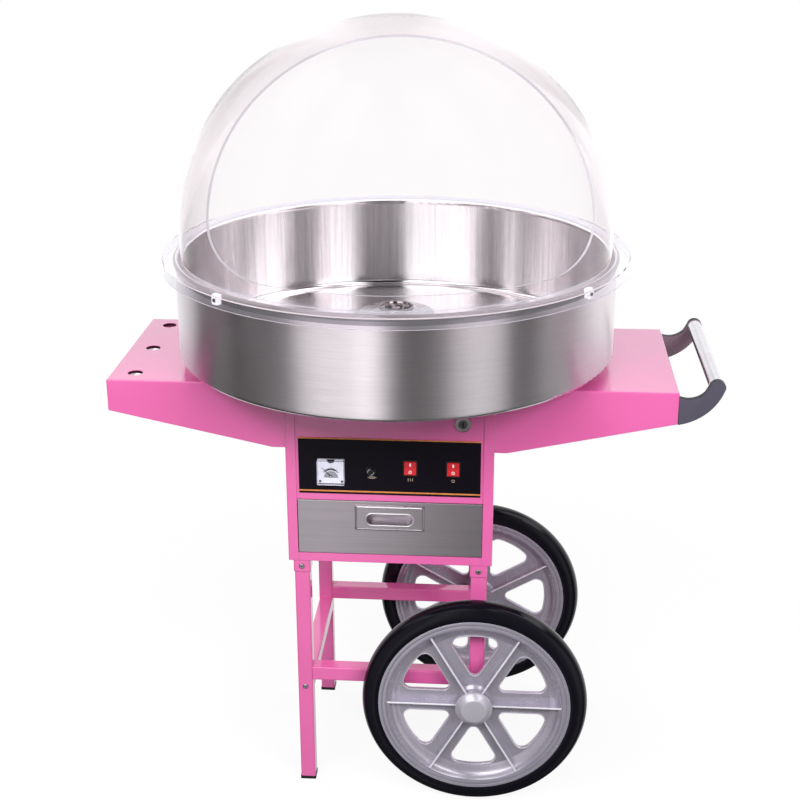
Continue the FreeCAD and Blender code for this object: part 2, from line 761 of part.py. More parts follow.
def foot_caps():
    caps = []
    half = TUBE / 2 + FOOT_LIP
    plug = TUBE / 2 - TUBE_WALL
    for y in (front_leg_y, rear_leg_y):
        x = -leg_x
        pad = rounded(block(x - half, x + half, y - half, y + half, 0, FOOT_T), FOOT_CORNER_R, Z_AXIS)
        caps.append(pad.fuse(block(x - plug, x + plug, y - plug, y + plug, FOOT_T, FOOT_T + FOOT_PLUG_H)))
    return caps


# ---------------------------------------------------------------- wheels, made about the origin
# A wheel is drawn about the Y axis with its outboard side towards -Y.
def rim_ring():
    half = rim_half_w
    inner = half - RIM_FLANGE_T
    face = outline(V(rim_inner_r, -half, 0), V(rim_r, -half, 0),
                   V(rim_r, -inner, 0), V(tyre_seat_r, -inner, 0),
                   V(tyre_seat_r, inner, 0), V(rim_r, inner, 0),
                   V(rim_r, half, 0), V(rim_inner_r, half, 0))
    return spun(face, Y_AXIS)


def wheel_window():
    """Rounded triangle between two spokes, pointing at the hub, upright along +Z."""
    half_angle = math.pi / SPOKE_COUNT
    apex = SPOKE_W / 2 / math.sin(half_angle)
    far = 2 * window_outer_r
    spread = (far - apex) * math.tan(half_angle)
    y0 = WEB_OFFSET - WEB_T
    wedge = outline(V(0, y0, apex), V(spread, y0, far), V(-spread, y0, far)).extrude(V(0, 2 * WEB_T, 0))
    window = wedge.common(rod_y(window_outer_r, y0, y0 + 2 * WEB_T, 0, 0))
    corners = [e for e in edges_along(window, Y_AXIS) if e.CenterOfMass.z > apex + 1e-3]
    window = window.makeFillet(WINDOW_CORNER_FILLET, corners)
    tips = [e for e in edges_along(window, Y_AXIS) if e.CenterOfMass.z < apex + 1e-3]
    return window.makeFillet(WINDOW_TIP_FILLET, tips)


def wheel_rim():
    web_y0 = WEB_OFFSET - WEB_T / 2
    web_y1 = WEB_OFFSET + WEB_T / 2
    web = rod_y(rim_inner_r, web_y0, web_y1, 0, 0)
    window = turned(wheel_window(), 180.0 / SPOKE_COUNT, Y_AXIS)
    web = cut_all(web, around(window, SPOKE_COUNT, Y_AXIS))
    lips = [e for y in (web_y0, web_y1) for e in edges_in_plane(web, 1, y)
            if HUB_R < e.CenterOfMass.Length < window_outer_r + 1]
    web = web.makeFillet(WINDOW_EDGE_R, lips)
    edge = rim_half_w - RIB_SETBACK
    rib = block(HUB_R - RIB_ROOT, rim_inner_r, -edge, edge, -RIB_T / 2, RIB_T / 2)
    rib = turned(rib, -90.0, Y_AXIS)
    hub = rod_y(HUB_R, -HUB_OUTBOARD, HUB_INBOARD, 0, 0)
    body = fused(rim_ring(), web, hub, *around(rib, SPOKE_COUNT, Y_AXIS))
    return body.cut(rod_y(AXLE_R + RUN_FIT, -HUB_OUTBOARD - OVERRUN, HUB_INBOARD + OVERRUN, 0, 0))


def tyre():
    half = rim_half_w
    inner = half - RIM_FLANGE_T
    wide = TYRE_HALF_W
    shoulder = TYRE_HALF_W - TYRE_SHOULDER_INSET
    shoulder_r = WHEEL_R - TYRE_SHOULDER_DROP
    belly_r = WHEEL_R - TYRE_BELLY_DROP
    face = outline(V(tyre_seat_r, -inner, 0), V(rim_r, -inner, 0), V(rim_r, -half, 0),
                   (V(belly_r, -wide, 0), V(shoulder_r, -shoulder, 0)),
                   (V(WHEEL_R, 0, 0), V(shoulder_r, shoulder, 0)),
                   (V(belly_r, wide, 0), V(rim_r, half, 0)),
                   V(rim_r, inner, 0), V(tyre_seat_r, inner, 0))
    return spun(face, Y_AXIS)


def hub_cap():
    y0 = -HUB_OUTBOARD
    y1 = y0 - CAP_H
    bulge = V((HUB_R + CAP_FACE_R) / 2 + CAP_BULGE[0], y1 + CAP_BULGE[1], 0)
    outer = spun(outline(V(0, y0, 0), V(HUB_R, y0, 0), V(HUB_R, y0 - CAP_COLLAR_H, 0),
                         (bulge, V(CAP_FACE_R, y1, 0)), V(0, y1, 0)), Y_AXIS)
    return outer.cut(rod_y(CAP_FACE_R - CAP_WALL, y1 + CAP_WALL, y0, 0, 0))


def placed_wheel(shape, front):
    if front:
        return turned(shape, FRONT_WHEEL_TURN, Y_AXIS).translated(V(axle_x, wheel_y, axle_z))
    turn = turned(shape, REAR_WHEEL_TURN, Y_AXIS)
    return mirrored_y(turn).translated(V(axle_x, rear_wheel_y, axle_z))


def axle_end():
    """How far the axle runs beyond the middle of a wheel."""
    return HUB_OUTBOARD + MOVING_GAP + NUT_T


def axle():
    return rod_y(AXLE_R, wheel_y - axle_end(), rear_wheel_y + axle_end(), axle_x, axle_z)


def axle_fasteners():
    """A spacer between each leg and its wheel, and a nut outside each wheel."""
    front_spacer = (wheel_y + HUB_INBOARD + MOVING_GAP, front_leg_y - TUBE / 2)
    rear_spacer = (rear_leg_y + TUBE / 2, rear_wheel_y - HUB_INBOARD - MOVING_GAP)
    pieces = [ribbed_spacer(y0, y1) for y0, y1 in (front_spacer, rear_spacer)]
    corners = []
    for i in range(6):
        angle = math.pi * i / 3
        corners.append(V(NUT_R * math.cos(angle), 0, NUT_R * math.sin(angle)))
    nut = outline(*corners).extrude(V(0, NUT_T, 0)).cut(rod_y(AXLE_R, 0, NUT_T, 0, 0))
    for y in (wheel_y - axle_end(), rear_wheel_y + axle_end() - NUT_T):
        pieces.append(nut.translated(V(axle_x, y, axle_z)))
    return pieces


def ribbed_spacer(y0, y1):
    """Spacer tube with raised ribs round it, like a stack of thick and thin washers."""
    pitch = (y1 - y0) / round((y1 - y0) / SPACER_PITCH)
    core = rod_y(SPACER_R, y0, y1, axle_x, axle_z)
    ribs = []
    y = y0
    while y < y1 - pitch / 2:
        ribs.append(rod_y(WASHER_R, y, y + pitch / 2, axle_x, axle_z))
        y += pitch
    return fused(core, *ribs).cut(rod_y(AXLE_R, y0, y1, axle_x, axle_z))


# ---------------------------------------------------------------- control panel
def panel_holes():
    y0 = front_y - OVERRUN
    y1 = fascia_y + 2 * SHEET
    holes = [rod_y(METER_BODY_R, y0, y1, METER_X, panel_z + METER_DZ),
             rod_y(FUSE_BODY_R, y0, y1, FUSE_X, panel_z + FUSE_DZ)]
    reach_x = ROCKER_HALF_W + MOVING_GAP + BEZEL_EDGE / 2
    reach_z = ROCKER_R + MOVING_GAP + BEZEL_EDGE / 2
    z = panel_z + SWITCH_DZ
    for x in SWITCH_X:
        holes.append(block(x - reach_x, x + reach_x, y0, y1, z - reach_z, z + reach_z))
    return holes


def control_panel():
    sheet = block(-PANEL_W / 2, PANEL_W / 2, front_y, fascia_y, panel_z - PANEL_H / 2, panel_z + PANEL_H / 2)
    return cut_all(sheet, panel_holes())


def meter_pivot():
    return V(METER_X, front_y - METER_FRAME_T, panel_z + METER_DZ + METER_PIVOT_DZ)


def meter_block(inset, y0, y1):
    z = panel_z + METER_DZ
    return block(METER_X - METER_W / 2 + inset, METER_X + METER_W / 2 - inset, y0, y1,
                 z - METER_H / 2 + inset, z + METER_H / 2 - inset)


def meter_case():
    y0 = front_y - METER_FRAME_T
    frame = rounded(meter_block(0, y0, front_y), METER_CORNER_R, Y_AXIS)
    body = rod_y(METER_BODY_R, front_y, front_y + METER_BODY_D, METER_X, panel_z + METER_DZ)
    pivot = meter_pivot()
    stud = rod_y(METER_PIVOT_R, y0 - NEEDLE_T - 4 * MOVING_GAP, y0, pivot.x, pivot.z)
    return fused(frame, body, stud)


def meter_needle():
    pivot = meter_pivot()
    y1 = pivot.y - MOVING_GAP
    y0 = y1 - NEEDLE_T
    hub = rod_y(NEEDLE_HUB_R, y0, y1, pivot.x, pivot.z)
    arm = outline(V(pivot.x - NEEDLE_W, y0, pivot.z), V(pivot.x + NEEDLE_W, y0, pivot.z),
                  V(pivot.x + NEEDLE_W / 4, y0, pivot.z + NEEDLE_L),
                  V(pivot.x - NEEDLE_W / 4, y0, pivot.z + NEEDLE_L)).extrude(V(0, NEEDLE_T, 0))
    bore = rod_y(METER_PIVOT_R + RUN_FIT, y0 - OVERRUN, y1 + OVERRUN, pivot.x, pivot.z)
    needle = fused(hub, arm).cut(bore)
    return turned(needle, -NEEDLE_REST, Y_AXIS, pivot)


def meter_lens():
    y1 = front_y - METER_FRAME_T
    y0 = y1 - METER_LENS_D
    outer = rounded(meter_block(0, y0, y1), METER_CORNER_R, Y_AXIS)
    return outer.cut(meter_block(METER_LENS_WALL, y0 + METER_LENS_WALL, y1))


def fuse_holder():
    z = panel_z + FUSE_DZ
    flange = rod_y(FUSE_FLANGE_R, front_y - FUSE_FLANGE_T, front_y, FUSE_X, z)
    body = rod_y(FUSE_BODY_R, front_y, front_y + FUSE_BODY_D, FUSE_X, z)
    bore = rod_y(FUSE_STEM_R + RUN_FIT, front_y - 2 * FUSE_FLANGE_T,
                 front_y + FUSE_STEM_L + MOVING_GAP, FUSE_X, z)
    return fused(flange, body).cut(bore)


def fuse_cap():
    z = panel_z + FUSE_DZ
    y1 = front_y - FUSE_FLANGE_T - MOVING_GAP
    y0 = y1 - FUSE_CAP_T
    knob = rod_y(FUSE_CAP_R, y0, y1, FUSE_X, z)
    stem = rod_y(FUSE_STEM_R, y1, front_y + FUSE_STEM_L, FUSE_X, z)
    slot = block(FUSE_X - FUSE_CAP_R, FUSE_X + FUSE_CAP_R, y0 - OVERRUN, y0 + FUSE_SLOT_D,
                 z - FUSE_SLOT_W / 2, z + FUSE_SLOT_W / 2)
    return fused(knob, stem).cut(slot)


def switch_pivot(x):
    return V(x, front_y - PIVOT_PROUD, panel_z + SWITCH_DZ)


def switch_bezel(x):
    pivot = switch_pivot(x)
    w0 = ROCKER_HALF_W + MOVING_GAP
    h0 = ROCKER_R + MOVING_GAP
    w1 = w0 + BEZEL_EDGE
    h1 = h0 + BEZEL_EDGE
    w2 = w0 + BEZEL_EDGE / 2
    h2 = h0 + BEZEL_EDGE / 2
    y0 = front_y - BEZEL_T
    y2 = front_y + SWITCH_BODY_D
    frame = block(x - w1, x + w1, y0, front_y, pivot.z - h1, pivot.z + h1)
    frame = rounded(frame, BEZEL_CORNER_R, Y_AXIS)
    body = block(x - w2, x + w2, front_y, y2, pivot.z - h2, pivot.z + h2)
    well = block(x - w0, x + w0, y0 - OVERRUN, y2 - 2 * BEZEL_EDGE, pivot.z - h0, pivot.z + h0)
    pin_half = ROCKER_HALF_W + TRUNNION_L
    pin_hole = rod_x(TRUNNION_R + RUN_FIT, x - pin_half, x + pin_half, pivot.y, pivot.z)
    return fused(frame, body).cut(well).cut(pin_hole)


def rocker(x):
    """Rocker with a shallow V front, its ends rounded about the pivot, tipped to off."""
    pivot = switch_pivot(x)
    x0 = x - ROCKER_HALF_W
    y = pivot.y
    z = pivot.z
    face = outline(V(x0, y - ROCKER_MID_RISE, z), V(x0, y - ROCKER_END_RISE, z + ROCKER_R),
                   V(x0, y + ROCKER_DEPTH, z + ROCKER_R), V(x0, y + ROCKER_DEPTH, z - ROCKER_R),
                   V(x0, y - ROCKER_END_RISE, z - ROCKER_R))
    body = face.extrude(V(2 * ROCKER_HALF_W, 0, 0))
    body = body.common(rod_x(ROCKER_R, x0, x0 + 2 * ROCKER_HALF_W, y, z))
    pin_half = ROCKER_HALF_W + TRUNNION_L - RUN_FIT
    trunnion = rod_x(TRUNNION_R, x - pin_half, x + pin_half, y, z)
    return turned(fused(body, trunnion), -ROCKER_TILT, X_AXIS, pivot)


def lock_barrel():
    bezel = rod_y(LOCK_BEZEL_R, fascia_y - LOCK_BEZEL_T, fascia_y, LOCK_X, lock_z)
    front_edge = [e for e in bezel.Edges if e.Curve.TypeId == "Part::GeomCircle"
                  and abs(e.Curve.Center.y - fascia_y + LOCK_BEZEL_T) < 1e-6]
    bezel = bezel.makeFillet(LOCK_BEZEL_ROUND, front_edge)
    body = rod_y(LOCK_BODY_R, fascia_y, fascia_y + LOCK_BODY_D, LOCK_X, lock_z)
    bore = rod_y(LOCK_PLUG_R + RUN_FIT, fascia_y - 2 * LOCK_BEZEL_T,
                 fascia_y + 2 * LOCK_BODY_D, LOCK_X, lock_z)
    return fused(bezel, body).cut(bore)


def lock_plug():
    y0 = fascia_y - LOCK_BEZEL_T - LOCK_PLUG_PROUD
    y1 = fascia_y + LOCK_BODY_D + MOVING_GAP
    plug = rod_y(LOCK_PLUG_R, y0, y1, LOCK_X, lock_z)
    keyway = block(LOCK_X - KEYWAY_W / 2, LOCK_X + KEYWAY_W / 2, y0 - OVERRUN, y0 + KEYWAY_D,
                   lock_z - KEYWAY_H / 2, lock_z + KEYWAY_H / 2)
    cam = block(LOCK_X - CAM_L + CAM_W / 2, LOCK_X + CAM_W / 2, y1, y1 + CAM_T,
                lock_z - CAM_W / 2, lock_z + CAM_W / 2)
    return fused(plug, rounded(cam, CAM_CORNER_R, Y_AXIS)).cut(keyway)


# ---------------------------------------------------------------- drawer
def drawer_middle_z():
    return (opening_z0 + opening_z1) / 2


def finger_pocket(grown, y, depth):
    """Stadium-shaped prism of the finger pocket, grown all round, from y inwards."""
    z = drawer_middle_z() + PULL_DZ + POCKET_DZ
    rise = POCKET_H / 2 + grown
    end = POCKET_W / 2 + grown
    flat = end - rise
    face = outline(V(-flat, y, z + rise), V(flat, y, z + rise),
                   (V(end, y, z), V(flat, y, z - rise)),
                   V(-flat, y, z - rise),
                   (V(-end, y, z), V(-flat, y, z + rise)))
    return face.extrude(V(0, depth, 0))


def drawer_front():
    half = opening_half_w - SEAM
    z0 = opening_z0 + SEAM
    z1 = opening_z1 - SEAM
    plate = block(-half, half, front_y, front_y + DRAWER_RETURN, z0, z1)
    plate = plate.makeFillet(DRAWER_EDGE_R, edges_in_plane(plate, 1, front_y))
    plate = plate.cut(block(-half + SHEET, half - SHEET, front_y + SHEET, front_y + DRAWER_RETURN,
                            z0 + SHEET, z1 - SHEET))
    return plate.cut(finger_pocket(POCKET_WALL, front_y, SHEET))


def drawer_pull():
    """Raised plate with a pressed finger pocket behind it."""
    z = drawer_middle_z() + PULL_DZ
    plate = block(-PULL_W / 2, PULL_W / 2, front_y - PULL_T, front_y, z - PULL_H / 2, z + PULL_H / 2)
    rim_edges = [e for e in plate.Edges if abs(e.CenterOfMass.y - front_y + PULL_T) < 1e-6]
    plate = plate.makeChamfer(PULL_CHAMFER, rim_edges)
    cup = finger_pocket(POCKET_WALL, front_y, POCKET_DEPTH + POCKET_WALL)
    well = finger_pocket(0, front_y - PULL_T, PULL_T + POCKET_DEPTH)
    return fused(plate, cup).cut(well)


def tray_z():
    return CAB_UNDERSIDE_Z + SHEET + TRAY_BOTTOM_RISE


def drawer_tray():
    y0 = front_y + SHEET
    y1 = y0 + TRAY_L
    z0 = tray_z()
    z1 = z0 + TRAY_H
    t = TRAY_SHEET
    clear_y = front_y + SHEET + POCKET_DEPTH + POCKET_WALL
    box = block(-tray_half_w, tray_half_w, y0, y1, z0, z1)
    box = box.cut(block(-tray_half_w + t, tray_half_w - t, y0 + t, y1 - t, z0 + t, z1))
    notch = block(-POCKET_W / 2 - 2 * t, POCKET_W / 2 + 2 * t, y0, clear_y,
                  drawer_middle_z() + PULL_DZ + POCKET_DZ - POCKET_H / 2 - 2 * t, z1)
    lip_y = front_y + DRAWER_RETURN + RUNNER_TRAY_GAP
    lip = block(tray_half_w, tray_half_w + TRAY_LIP, lip_y, y1, z1 - t, z1)
    return fused(box.cut(notch), lip, mirrored_x(lip))


def drawer_runners():
    """C-section runner on each side wall: the tray's lip hangs in it."""
    y0 = front_y + DRAWER_RETURN + RUNNER_TRAY_GAP
    lip_z1 = tray_z() + TRAY_H
    lip_z0 = lip_z1 - TRAY_SHEET
    x0 = tray_half_w + RUNNER_TRAY_GAP
    z0 = lip_z0 - MOVING_GAP - RUNNER_KEEPER
    z1 = lip_z1 + MOVING_GAP + RUNNER_KEEPER
    runner = block(x0, inner_x, y0, y0 + RUNNER_L, z0, z1)
    channel = block(x0, inner_x - RUNNER_KEEPER, y0, y0 + RUNNER_L, z0 + RUNNER_KEEPER, z1 - RUNNER_KEEPER)
    runner = runner.cut(channel)
    return [mirrored_x(runner), runner]


# ---------------------------------------------------------------- pan and dome
def pan():
    t = PAN_SHEET
    c = PAN_CORNER_R
    k = math.sqrt(0.5)
    z = pan_z
    face = outline(rz(PAN_HOLE_R, z), rz(PAN_R - c, z),
                   (rz(PAN_R - c + c * k, z + c - c * k), rz(PAN_R, z + c)),
                   rz(PAN_R, rim_z), rz(PAN_R - t, rim_z), rz(PAN_R - t, z + c),
                   (rz(PAN_R - c + (c - t) * k, z + c - (c - t) * k), rz(PAN_R - c, z + t)),
                   rz(PAN_HOLE_R + t, z + t), rz(PAN_HOLE_R + t, z + PAN_NECK_H),
                   rz(PAN_HOLE_R, z + PAN_NECK_H))
    bead = Part.makeTorus(PAN_R - t / 2, RIM_BEAD_R, V(0, 0, rim_z), Z_AXIS)
    return drilled(spun(face).fuse(bead), pan_spots())


def pan_seat():
    seat = ring(SEAT_R, PAN_HOLE_R, top_z, pan_z)
    return drilled(seat, pan_spots(), SEAT_H + SHORT_GRIP)


def dome_body(inset):
    """Solid inside the dome's profile, from its foot up to the crown, moved in by inset."""
    r = dome_r - inset
    crown = DOME_CROWN_H - inset
    foot_z = flange_z + DOME_SHEET
    shoulder_z = foot_z + DOME_WALL_H
    if crown < r:
        curve = Part.Ellipse(rz(r, shoulder_z), rz(0, shoulder_z + crown), rz(0, shoulder_z))
        arc = Part.ArcOfEllipse(curve, 0, math.pi / 2).toShape()
    else:
        curve = Part.Ellipse(rz(0, shoulder_z + crown), rz(-r, shoulder_z), rz(0, shoulder_z))
        arc = Part.ArcOfEllipse(curve, -math.pi / 2, 0).toShape()
    wall = Part.LineSegment(rz(r, foot_z), rz(r, shoulder_z)).toShape()
    base = Part.LineSegment(rz(0, foot_z), rz(r, foot_z)).toShape()
    axis = Part.LineSegment(rz(0, shoulder_z + crown), rz(0, foot_z)).toShape()
    return spun(Part.Face(Part.Wire(Part.__sortEdges__([base, wall, arc, axis]))))


def dome_opening():
    """Wedge that opens the dome's front: a level lip, a round corner and a leaning edge."""
    z0 = flange_z + DOME_SHEET + OPENING_LIP_H
    height = 2 * DOME_CROWN_H
    reach = 2 * dome_r
    lean = math.atan(OPENING_SLOPE)
    tangent = OPENING_CORNER_R * math.tan((math.pi / 2 - lean) / 2)
    y = OPENING_DEPTH - dome_r
    start = V(-reach, y - tangent, z0)
    end = V(-reach, y + tangent * math.sin(lean), z0 + tangent * math.cos(lean))
    centre = V(-reach, y - tangent, z0 + OPENING_CORNER_R)
    chord = (start + end) * 0.5 - centre
    middle = centre + chord * (OPENING_CORNER_R / chord.Length)
    face = outline(V(-reach, -reach, z0), start, (middle, end),
                   V(-reach, y + height * OPENING_SLOPE, z0 + height), V(-reach, -reach, z0 + height))
    return turned(face.extrude(V(2 * reach, 0, 0)), DOME_TURN)


def dome():
    """Bowl-shaped cover, and the flanged ring that it is bonded to."""
    shell = dome_body(0).cut(dome_body(DOME_SHEET)).cut(dome_opening())
    z1 = flange_z + DOME_SHEET
    flange = ring(dome_flange_r, dome_r - DOME_SHEET, flange_z, z1)
    skirt = ring(dome_flange_r, dome_flange_r - DOME_SHEET, z1 - DOME_SKIRT_H - DOME_SHEET, z1)
    return [shell, fused(flange, skirt)]


def clip_angles():
    middle = DOME_TURN - QUARTER_TURN
    return (middle - CLIP_ANGLE, middle + CLIP_ANGLE)


def clip_inner_r():
    return PAN_R - PAN_SHEET / 2 + RIM_BEAD_R + CLIP_INNER_GAP


def dome_clips():
    """Two clear blocks under the flange that centre the dome on the rolled rim."""
    r0 = clip_inner_r()
    clip = block(r0, r0 + CLIP_T, -CLIP_W / 2, CLIP_W / 2, flange_z - CLIP_H, flange_z)
    clip = rounded(clip, CLIP_CORNER_R, X_AXIS)
    hole = rod_x(CLIP_SCREW_R, r0 - OVERRUN, r0 + 2 * CLIP_T, 0, flange_z - CLIP_H / 2)
    return [turned(clip.cut(hole), a) for a in clip_angles()]


def clip_screws():
    r1 = clip_inner_r() + CLIP_T
    z = flange_z - CLIP_H / 2
    shank = rod_x(CLIP_SCREW_R, r1 - CLIP_T, r1, 0, z)
    head = rod_x(CLIP_SCREW_HEAD_R, r1, r1 + CLIP_SCREW_HEAD_T, 0, z)
    return [turned(shank.fuse(head), a) for a in clip_angles()]


# ---------------------------------------------------------------- motor and drive
def motor_housing():
    z = motor_z
    base = post(MOTOR_BASE_R, z, z + MOTOR_BASE_T)
    can = post(MOTOR_R, z, cap_z).cut(post(MOTOR_R - MOTOR_WALL, z + MOTOR_BASE_T, cap_z))
    boss = post(BEARING_BOSS_R, z, z + MOTOR_BASE_T + BEARING_BOSS_H)
    pocket = post(BEARING_R, lower_bearing_z(), z + MOTOR_BASE_T + BEARING_BOSS_H)
    return drilled(fused(base, can, boss).cut(pocket), motor_spots())


def lower_bearing_z():
    return motor_z + MOTOR_BASE_T + BEARING_BOSS_H - BEARING_T


def upper_bearing_z():
    return cap_z


def motor_end_cap():
    cap = post(MOTOR_R, cap_z, cap_top_z)
    pocket = post(BEARING_R, upper_bearing_z(), upper_bearing_z() + BEARING_T)
    port = post(SPINDLE_R + SPINDLE_PORT_GAP, cap_z, cap_top_z)
    return cap.cut(pocket).cut(port)


def motor_bearings():
    heights = (lower_bearing_z(), upper_bearing_z())
    return [ring(BEARING_R, SPINDLE_R + RUN_FIT, z, z + BEARING_T) for z in heights]


def core_z():
    return motor_z + CORE_RISE


def motor_stator():
    return ring(MOTOR_R - MOTOR_WALL, ROTOR_R + STATOR_GAP, core_z(), core_z() + CORE_H)


def spindle():
    """Shaft with the rotor core pressed on it, and the nut that holds the spinner head down."""
    shaft = post(SPINDLE_R, lower_bearing_z() + MOVING_GAP, band_z + SPINDLE_NUT_T + SPINDLE_TIP)
    rotor = post(ROTOR_R, core_z(), core_z() + CORE_H)
    nut = ring(SPINDLE_NUT_R, SPINDLE_R, band_z, band_z + SPINDLE_NUT_T)
    return [fused(shaft, rotor), nut]


def slip_ring_z(i):
    return cap_top_z + SLIP_RISE + i * SLIP_RING_PITCH


def slip_rings():
    """Insulating sleeve on the spindle with two contact rings pressed over it."""
    margin = (SLIP_RING_PITCH - SLIP_RING_H) / 2
    sleeve = ring(SLIP_SLEEVE_R, SPINDLE_R, slip_ring_z(0) - margin, slip_ring_z(1) + SLIP_RING_H + margin)
    rings = [ring(SLIP_RING_R, SLIP_SLEEVE_R, slip_ring_z(i), slip_ring_z(i) + SLIP_RING_H) for i in (0, 1)]
    return [sleeve] + rings


def brush_x():
    return SLIP_RING_R + MOVING_GAP


def brush_box(i):
    z0 = slip_ring_z(i) + (SLIP_RING_H - BRUSH_H) / 2
    x0 = brush_x()
    return block(x0, x0 + BRUSH_L, -BRUSH_HALF_W, BRUSH_HALF_W, z0, z0 + BRUSH_H)


def brush_gear():
    """Holder that stands on the motor's end cap, and the two carbon brushes it guides."""
    x0 = brush_x() + HOLDER_STANDOFF
    z1 = slip_ring_z(1) + SLIP_RING_H + HOLDER_RISE
    holder = block(x0, x0 + HOLDER_L, -HOLDER_HALF_W, HOLDER_HALF_W, cap_top_z, z1)
    brushes = [brush_box(0), brush_box(1)]
    return [cut_all(holder, brushes)] + brushes


# ---------------------------------------------------------------- spinner head
def head_base():
    disc = post(HEAD_R, head_z, band_z)
    hub = post(HEAD_HUB_R, head_z - HEAD_HUB_DROP, band_z)
    posts = around(post(HEAD_POST_R, band_z, lid_z, HEAD_POST_PCD_R, 0), HEAD_POST_COUNT)
    return fused(disc, hub, *posts).cut(post(SPINDLE_R, head_z - 2 * HEAD_HUB_DROP, lid_z))


def slotted_ring(outer_r, wall, z0, z1, slots, slot_w, margin):
    band = ring(outer_r, outer_r - wall, z0, z1)
    slot = block(outer_r - 2 * wall, outer_r + wall, -slot_w / 2, slot_w / 2, z0 + margin, z1 - margin)
    return cut_all(band, around(slot, slots))


def head_band():
    return slotted_ring(HEAD_R, BAND_T, band_z, lid_z, BAND_SLOTS, BAND_SLOT_W, BAND_SLOT_MARGIN)


def heater_ribbon():
    return slotted_ring(HEATER_R, HEATER_T, band_z, lid_z - HEATER_END_GAP,
                        HEATER_SLOTS, HEATER_SLOT_W, HEATER_END_GAP)


def head_lid():
    """Sloping lid with an upright collar round the sugar mouth, seated on the band and posts."""
    z = lid_z
    land_r = HEAD_POST_PCD_R - HEAD_POST_R - LID_T
    neck_r = LID_MOUTH_R
    rise = z + LID_RISE
    t = LID_T
    face = outline(rz(land_r, z), rz(HEAD_R, z), rz(HEAD_R, z + t),
                   rz(neck_r, rise), rz(neck_r, rise + LID_COLLAR_H),
                   rz(neck_r - t, rise + LID_COLLAR_H), rz(neck_r - t, rise - t))
    return spun(face)


# ---------------------------------------------------------------- power inlet
def inlet_block(w, h, y0, y1):
    return block(INLET_X - w / 2, INLET_X + w / 2, y0, y1, inlet_z - h / 2, inlet_z + h / 2)


def power_inlet():
    """Three-pin appliance inlet, sunk in the back panel."""
    y = back_y - SHEET
    y1 = y + INLET_FLANGE_T
    flange = rounded(inlet_block(INLET_W, INLET_H, y, y1), INLET_CORNER_R, Y_AXIS)
    body = inlet_block(INLET_BODY_W, INLET_BODY_H, y - INLET_BODY_D, y)
    shell = fused(flange, body).cut(inlet_block(INLET_RECESS_W, INLET_RECESS_H, y1 - INLET_RECESS_D, y1))
    pins = []
    y0 = y1 - INLET_RECESS_D
    for i, side in ((-1, -1), (0, 1), (1, -1)):
        x = INLET_X + i * INLET_PIN_PITCH
        z = inlet_z + side * INLET_PIN_STEP
        pins.append(block(x - INLET_PIN_W / 2, x + INLET_PIN_W / 2, y0, y0 + INLET_PIN_L,
                          z - INLET_PIN_H / 2, z + INLET_PIN_H / 2))
    return fused(shell, *pins)


# ---------------------------------------------------------------- the assembly
def all_nodes():
    rim = wheel_rim()
    rubber = tyre()
    cap = hub_cap()
    side = right_side_panel()
    bracket = front_handle_bracket()
    return {
        "left_side_panel": mirrored_x(side),
        "right_side_panel": side,
        "back_panel": back_panel(),
        "cabinet_floor": cabinet_floor(),
        "front_fascia": front_fascia(),
        "cabinet_top": cabinet_top(),
        "motor_deck": motor_deck(),
        "left_shelf": left_shelf(),
        "right_shelf": right_shelf(),
        "front_handle_bracket": bracket,
        "rear_handle_bracket": mirrored_y(bracket),
        "handle_grip": handle_grip(),
        "front_left_leg": leg(-leg_x, front_leg_y, FOOT_T),
        "rear_left_leg": leg(-leg_x, rear_leg_y, FOOT_T),
        "front_right_leg": wheel_side_leg(front_leg_y),
        "rear_right_leg": wheel_side_leg(rear_leg_y),
        "cross_rails": cross_rails(),
        "side_rails": side_rails(),
        "foot_caps": foot_caps(),
        "frame_screws": frame_screws(),
        "axle": axle(),
        "axle_fasteners": axle_fasteners(),
        "front_wheel_rim": placed_wheel(rim, True),
        "front_tyre": placed_wheel(rubber, True),
        "front_hub_cap": placed_wheel(cap, True),
        "rear_wheel_rim": placed_wheel(rim, False),
        "rear_tyre": placed_wheel(rubber, False),
        "rear_hub_cap": placed_wheel(cap, False),
        "control_panel": control_panel(),
        "meter_case": meter_case(),
        "meter_needle": meter_needle(),
        "meter_lens": meter_lens(),
        "fuse_holder": fuse_holder(),
        "fuse_cap": fuse_cap(),
        "switch_bezels": [switch_bezel(x) for x in SWITCH_X],
        "heat_rocker": rocker(SWITCH_X[0]),
        "power_rocker": rocker(SWITCH_X[1]),
        "lock_barrel": lock_barrel(),
        "lock_plug": lock_plug(),
        "drawer_front": drawer_front(),
        "drawer_pull": drawer_pull(),
        "drawer_tray": drawer_tray(),
        "drawer_runners": drawer_runners(),
        "pan_seat": pan_seat(),
        "pan": pan(),
        "dome": dome(),
        "dome_clips": dome_clips(),
        "clip_screws": clip_screws(),
        "motor_housing": motor_housing(),
        "motor_end_cap": motor_end_cap(),
        "motor_stator": motor_stator(),
        "motor_bearings": motor_bearings(),
        "spindle": spindle(),
        "slip_rings": slip_rings(),
        "brush_gear": brush_gear(),
        "head_base": head_base(),
        "heater_ribbon": heater_ribbon(),
        "head_band": head_band(),
        "head_lid": head_lid(),
        "power_inlet": power_inlet(),
    }


def export(name, shape):
    if isinstance(shape, list):
        shape = Part.makeCompound([solid for piece in shape for solid in piece.Solids])
    shape = shape.translated(V(row_x, 0, 0))
    shape.exportStep(os.path.join("parts", name + ".step"))
    return shape


os.makedirs("parts", exist_ok=True)
for node, made in all_nodes().items():
    shape = export(node, made)
    print(f"{node}: {len(shape.Solids)} solids, {shape.Volume / 1000:.2f} cm3, valid {shape.isValid()}")
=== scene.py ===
import math
import bpy
import bmesh
from mathutils import Matrix, Vector

